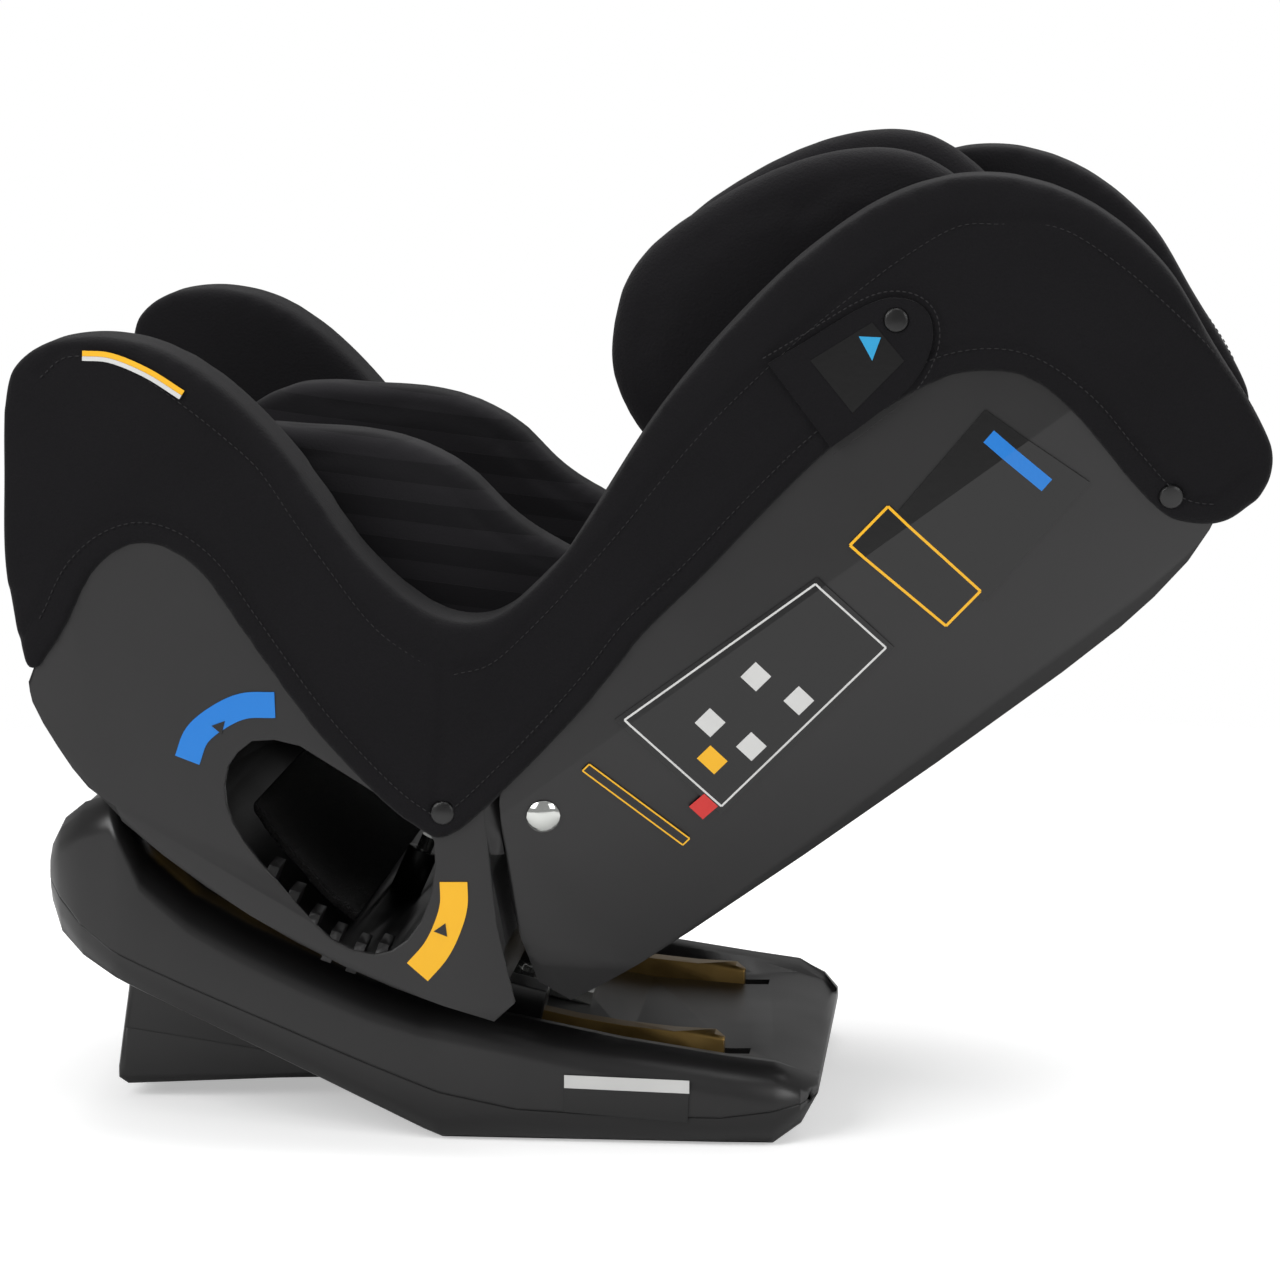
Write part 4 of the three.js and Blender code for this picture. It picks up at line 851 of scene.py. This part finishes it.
class SideMarkings:
    """Belt-path markers and blank instruction panels on the shell's sides."""

    def belt_markers(self, name: str, side: int) -> None:
        """Blue and yellow blank markers beside the belt opening."""
        blue = Print(f"belt_marker_front_{name}", side, "seat", WALL_OUT + 0.0002, leaning=False)
        arc = flow([drawn(*p) for p in ((-251, 242), (-245, 257), (-232, 268), (-217, 275), (-198, 276))], 8)
        blue.band(arc, 0.0155, BLUE_PRINT)
        blue.sheet([drawn(-236, 263), drawn(-230, 258), drawn(-228, 266)], DARK_PRINT, 1)
        blue.close()
        yellow = Print(f"belt_marker_rear_{name}", side, "seat", WALL_OUT + 0.0002, leaning=False)
        arc = flow([drawn(*p) for p in ((-114, 116), (-103, 129), (-96, 143), (-92, 157), (-92, 171))], 8)
        yellow.band(arc, 0.0165, YELLOW_PRINT)
        yellow.sheet([drawn(-104, 141), drawn(-96, 138), drawn(-97, 146)], DARK_PRINT, 1)
        yellow.close()

    def panels(self) -> None:
        """Blank instruction panels on the child's left of the back shell."""
        film = Print("instruction_panels_left", -1, "seat", WALL_OUT + 0.0010)

        def box(corners: Sequence[Point]) -> list[Point]:
            """Corners from the drawing's millimetres."""
            return [drawn(*p) for p in corners]

        film.sheet(box([(220, 455), (281, 412), (221, 341), (148, 369)]), DARK_PRINT)
        film.sheet(box([(225, 443), (259, 414), (253, 407), (219, 436)]), BLUE_PRINT, 1)
        film.sheet(box([(164, 398), (218, 347), (198, 326), (142, 375)]), DARK_PRINT)
        film.frame(box([(164, 398), (218, 347), (198, 326), (142, 375)]), 0.0016, YELLOW_PRINT)
        film.sheet(box([(123, 356), (168, 313), (66, 211), (4, 270)]), DARK_PRINT)
        film.frame(box([(122, 352), (163, 313), (66, 216), (10, 270)]), 0.0012, WHITE_PRINT)
        for x, z in ((87, 296), (60, 268), (112, 281), (84, 253)):
            film.sheet(box([(x - 9, z), (x, z + 9), (x + 9, z), (x, z - 9)]), WHITE_PRINT, 1)
        film.sheet(box([(52, 246), (60, 254), (70, 244), (62, 236)]), YELLOW_PRINT, 1)
        film.sheet(box([(-15, 239), (-11, 243), (47, 196), (43, 192)]), DARK_PRINT)
        film.frame(box([(-15, 239), (-11, 243), (47, 196), (43, 192)]), 0.0009, YELLOW_PRINT)
        film.sheet(box([(47, 216), (56, 224), (64, 216), (55, 208)]), RED_PRINT, 1)
        film.close()
        plate = Print("base_panel_left", -1, "base", 0.1762, leaning=False, slot="base_plastic")
        plate.sheet(box([(-31, 44), (45, 42), (44, 16), (-31, 21)]), DARK_PRINT)
        plate.sheet(box([(-31, 44), (45, 42), (45, 34), (-31, 36)]), WHITE_PRINT, 1)
        plate.close()


# ---------------------------------------------------------------- the whole seat
class CarSeat:
    """Builds every piece of the seat."""

    RESHADED = {
        SHELL: ("bucket_shell", "back_shell", "headrest_plate", "headrest_carriage", "buckle_housing",
                "adjuster_housing"),
        HOUSING: ("base_upper_housing", "base_lower_housing", "swing_foot"),
        TRIM: ("foot_tread", "runner_left", "runner_right", "headrest_release", "recline_handle",
                "adjuster_button",
               "snap_front_left", "snap_front_right", "snap_rear_left", "snap_rear_right", "flap_snap_left",
               "flap_snap_right"),
        RAIL: ("rail_left", "rail_right"),
        BRIGHT: ("foot_pivot_rod", "recline_rack", "latch_pin", "harness_yoke", "rivet_left", "rivet_right",
                 "buckle_tongue_left", "buckle_tongue_right", "rail_bolt_left_front", "rail_bolt_left_rear",
                 "rail_bolt_right_front", "rail_bolt_right_rear"),
        RED: ("buckle_button",),
        STRAP: ("shoulder_strap_left", "shoulder_strap_right", "lap_strap_left", "lap_strap_right",
                "crotch_strap",
                "adjuster_webbing"),
    }
    STUFFED = {
        "seat_cushion": (COVER, Padding(shrink=0.002, cap=0.004)),
        "back_cushion": (COVER, Padding(shrink=0.002, cap=0.004)),
        "insert_seat_pad": (LINING, Padding(voxel=0.0045, shrink=0.002, cap=0.0035)),
        "insert_back_pad": (LINING, Padding(voxel=0.004, shrink=0.002, cap=0.0035)),
        "insert_bolster_left": (LINING, Padding(voxel=0.0045, shrink=0.003, cap=0.007)),
        "insert_bolster_right": (LINING, Padding(voxel=0.0045, shrink=0.003, cap=0.007)),
        "headrest_centre_pad": (PLUSH, Padding(shrink=0.003, cap=0.006)),
        "headrest_wing_left": (PLUSH, Padding(voxel=0.0045, shrink=0.003, cap=0.006)),
        "headrest_wing_right": (PLUSH, Padding(voxel=0.0045, shrink=0.003, cap=0.006)),
        "shoulder_pad_left": (LINING, Padding(voxel=0.003, shrink=0.001, cap=0.002, rounding=3)),
        "shoulder_pad_right": (LINING, Padding(voxel=0.003, shrink=0.001, cap=0.002, rounding=3)),
        "belt_path_pad": (FELT, Padding(voxel=0.003, shrink=0.0005, cap=0.001, rounding=2)),
    }

    CREASE = 34  # degrees; a sharper edge stays sharp

    def __init__(self) -> None:
        """Finds which body each frame node moves with."""
        groups = frame["record"]["behaviour"]["bodies"]
        self.body_of = {node: body for body, nodes in groups.items() for node in nodes}
        self.stitcher = Stitcher()

    def hard_parts(self) -> None:
        """Dresses the moulded, metal and webbing pieces."""
        for finish, nodes in self.RESHADED.items():
            for node in nodes:
                piece = smooth(copied(node, node + "_finished"), self.CREASE)
                piece.modifiers.new("even_shading", "WEIGHTED_NORMAL").keep_sharp = True
                piece = settle(piece)
                finish_piece(piece, finish, self.body_of[node], [node])

    def soft_parts(self) -> None:
        """Stuffs the cushions and pads."""
        for node, (finish, padding) in self.STUFFED.items():
            piece = padding.stuff(copied(node, node + "_padded"))
            finish_piece(piece, finish, self.body_of[node], [node])

    def build(self) -> None:
        """Builds the seat."""
        self.hard_parts()
        self.soft_parts()
        marks = SideMarkings()
        for name, side in SIDES:
            SideCover(name, side).build(self.stitcher)
            SideFlap(name, side).build(self.stitcher)
            marks.belt_markers(name, side)
        marks.panels()
        SewnTag().build()


class Studio:
    """Camera, lamps, floor and world."""

    AZIMUTH, ELEVATION, DISTANCE, LENS = math.radians(4.9), math.radians(8.3), 3.05, 135.3
    AIM_Z = 0.285

    def camera(self) -> None:
        """Puts the camera in place."""
        data = bpy.data.cameras.new("camera")
        data.sensor_width = 36.0
        data.lens = self.LENS
        eye = bpy.data.objects.new("camera", data)
        away = Vector((math.sin(self.AZIMUTH) * math.cos(self.ELEVATION),
                -math.cos(self.AZIMUTH) * math.cos(self.ELEVATION),
                       math.sin(self.ELEVATION)))
        eye.location = Vector((SHIFT_X, 0, self.AIM_Z + SHIFT_Z)) + away * self.DISTANCE
        eye.rotation_mode = "QUATERNION"
        eye.rotation_quaternion = (-away).to_track_quat("-Z", "Y")
        bpy.context.scene.collection.objects.link(eye)
        bpy.context.scene.camera = eye

    def lamp(self, name: str, place: Sequence[float], size: float, power: float) -> None:
        """Adds a soft square lamp that looks at the seat."""
        data = bpy.data.lights.new(name, "AREA")
        data.size = size
        data.energy = power
        made = bpy.data.objects.new(name, data)
        made.location = place
        made.rotation_mode = "QUATERNION"
        made.rotation_quaternion = (Vector((0, 0, 0.3)) - Vector(place)).to_track_quat("-Z", "Y")
        bpy.context.scene.collection.objects.link(made)

    def world(self) -> None:
        """White to the eye and to transmission rays, plain grey as light."""
        world = bpy.data.worlds.new("studio")
        bpy.context.scene.world = world
        world.use_nodes = True
        tree = world.node_tree
        tree.nodes.clear()
        path = tree.nodes.new("ShaderNodeLightPath")
        shown = tree.nodes.new("ShaderNodeMath")
        shown.operation = "MAXIMUM"
        tree.links.new(path.outputs["Is Camera Ray"], shown.inputs[0])
        tree.links.new(path.outputs["Is Transmission Ray"], shown.inputs[1])
        light, sight = tree.nodes.new("ShaderNodeBackground"), tree.nodes.new("ShaderNodeBackground")
        light.inputs["Color"].default_value = (0.8, 0.8, 0.8, 1)
        light.inputs["Strength"].default_value = 0.40
        sight.inputs["Color"].default_value = (1, 1, 1, 1)
        mix, out = tree.nodes.new("ShaderNodeMixShader"), tree.nodes.new("ShaderNodeOutputWorld")
        tree.links.new(shown.outputs[0], mix.inputs[0])
        tree.links.new(light.outputs[0], mix.inputs[1])
        tree.links.new(sight.outputs[0], mix.inputs[2])
        tree.links.new(mix.outputs[0], out.inputs[0])

    def floor(self) -> None:
        """Pale floor that shows white where it is lit and keeps the seat's shadow."""
        half = 9.0
        floor = from_faces("floor", [(-half, -half, 0), (half, -half, 0), (half, half, 0),
                (-half, half, 0)], [(0, 1, 2, 3)])
        recipe = Recipe("pale_floor")
        plain = recipe.node("ShaderNodeBsdfDiffuse", {"Color": (0.86, 0.86, 0.86, 1)})
        glow = recipe.node("ShaderNodeEmission", {"Color": (1, 1, 1, 1), "Strength": 0.42})
        both = recipe.node("ShaderNodeAddShader", {0: plain, 1: glow})
        seen = recipe.node("ShaderNodeLightPath", out="Is Camera Ray")
        shown = recipe.node("ShaderNodeMixShader", {0: seen, 1: plain, 2: both})
        at = recipe.place()[0]
        away = recipe.node("ShaderNodeVectorMath", {0: at}, out="Value", operation="LENGTH")
        gone = recipe.node("ShaderNodeMapRange", {"Value": away, "From Min": 0.55, "From Max": 1.5})
        clear = recipe.node("ShaderNodeBsdfTransparent")
        recipe.node_out(recipe.node("ShaderNodeMixShader", {0: gone * seen, 1: shown, 2: clear}))
        floor.data.materials.append(recipe.material)

    def build(self) -> None:
        """Sets the stage."""
        bpy.context.scene.view_settings.view_transform = "Standard"
        self.camera()
        self.world()
        self.floor()
        self.lamp("overhead", (0.2, 0.3, 2.3), 2.2, 56)
        self.lamp("front_left", (-1.5, -1.9, 1.5), 1.4, 38)
        self.lamp("front_right", (1.9, -1.6, 1.2), 1.2, 20)


def main() -> None:
    """Builds the stage and the seat."""
    logging.basicConfig(level=logging.INFO, format="%(name)s: %(message)s")
    Studio().build()
    CarSeat().build()


if __name__ == "__main__":
    main()
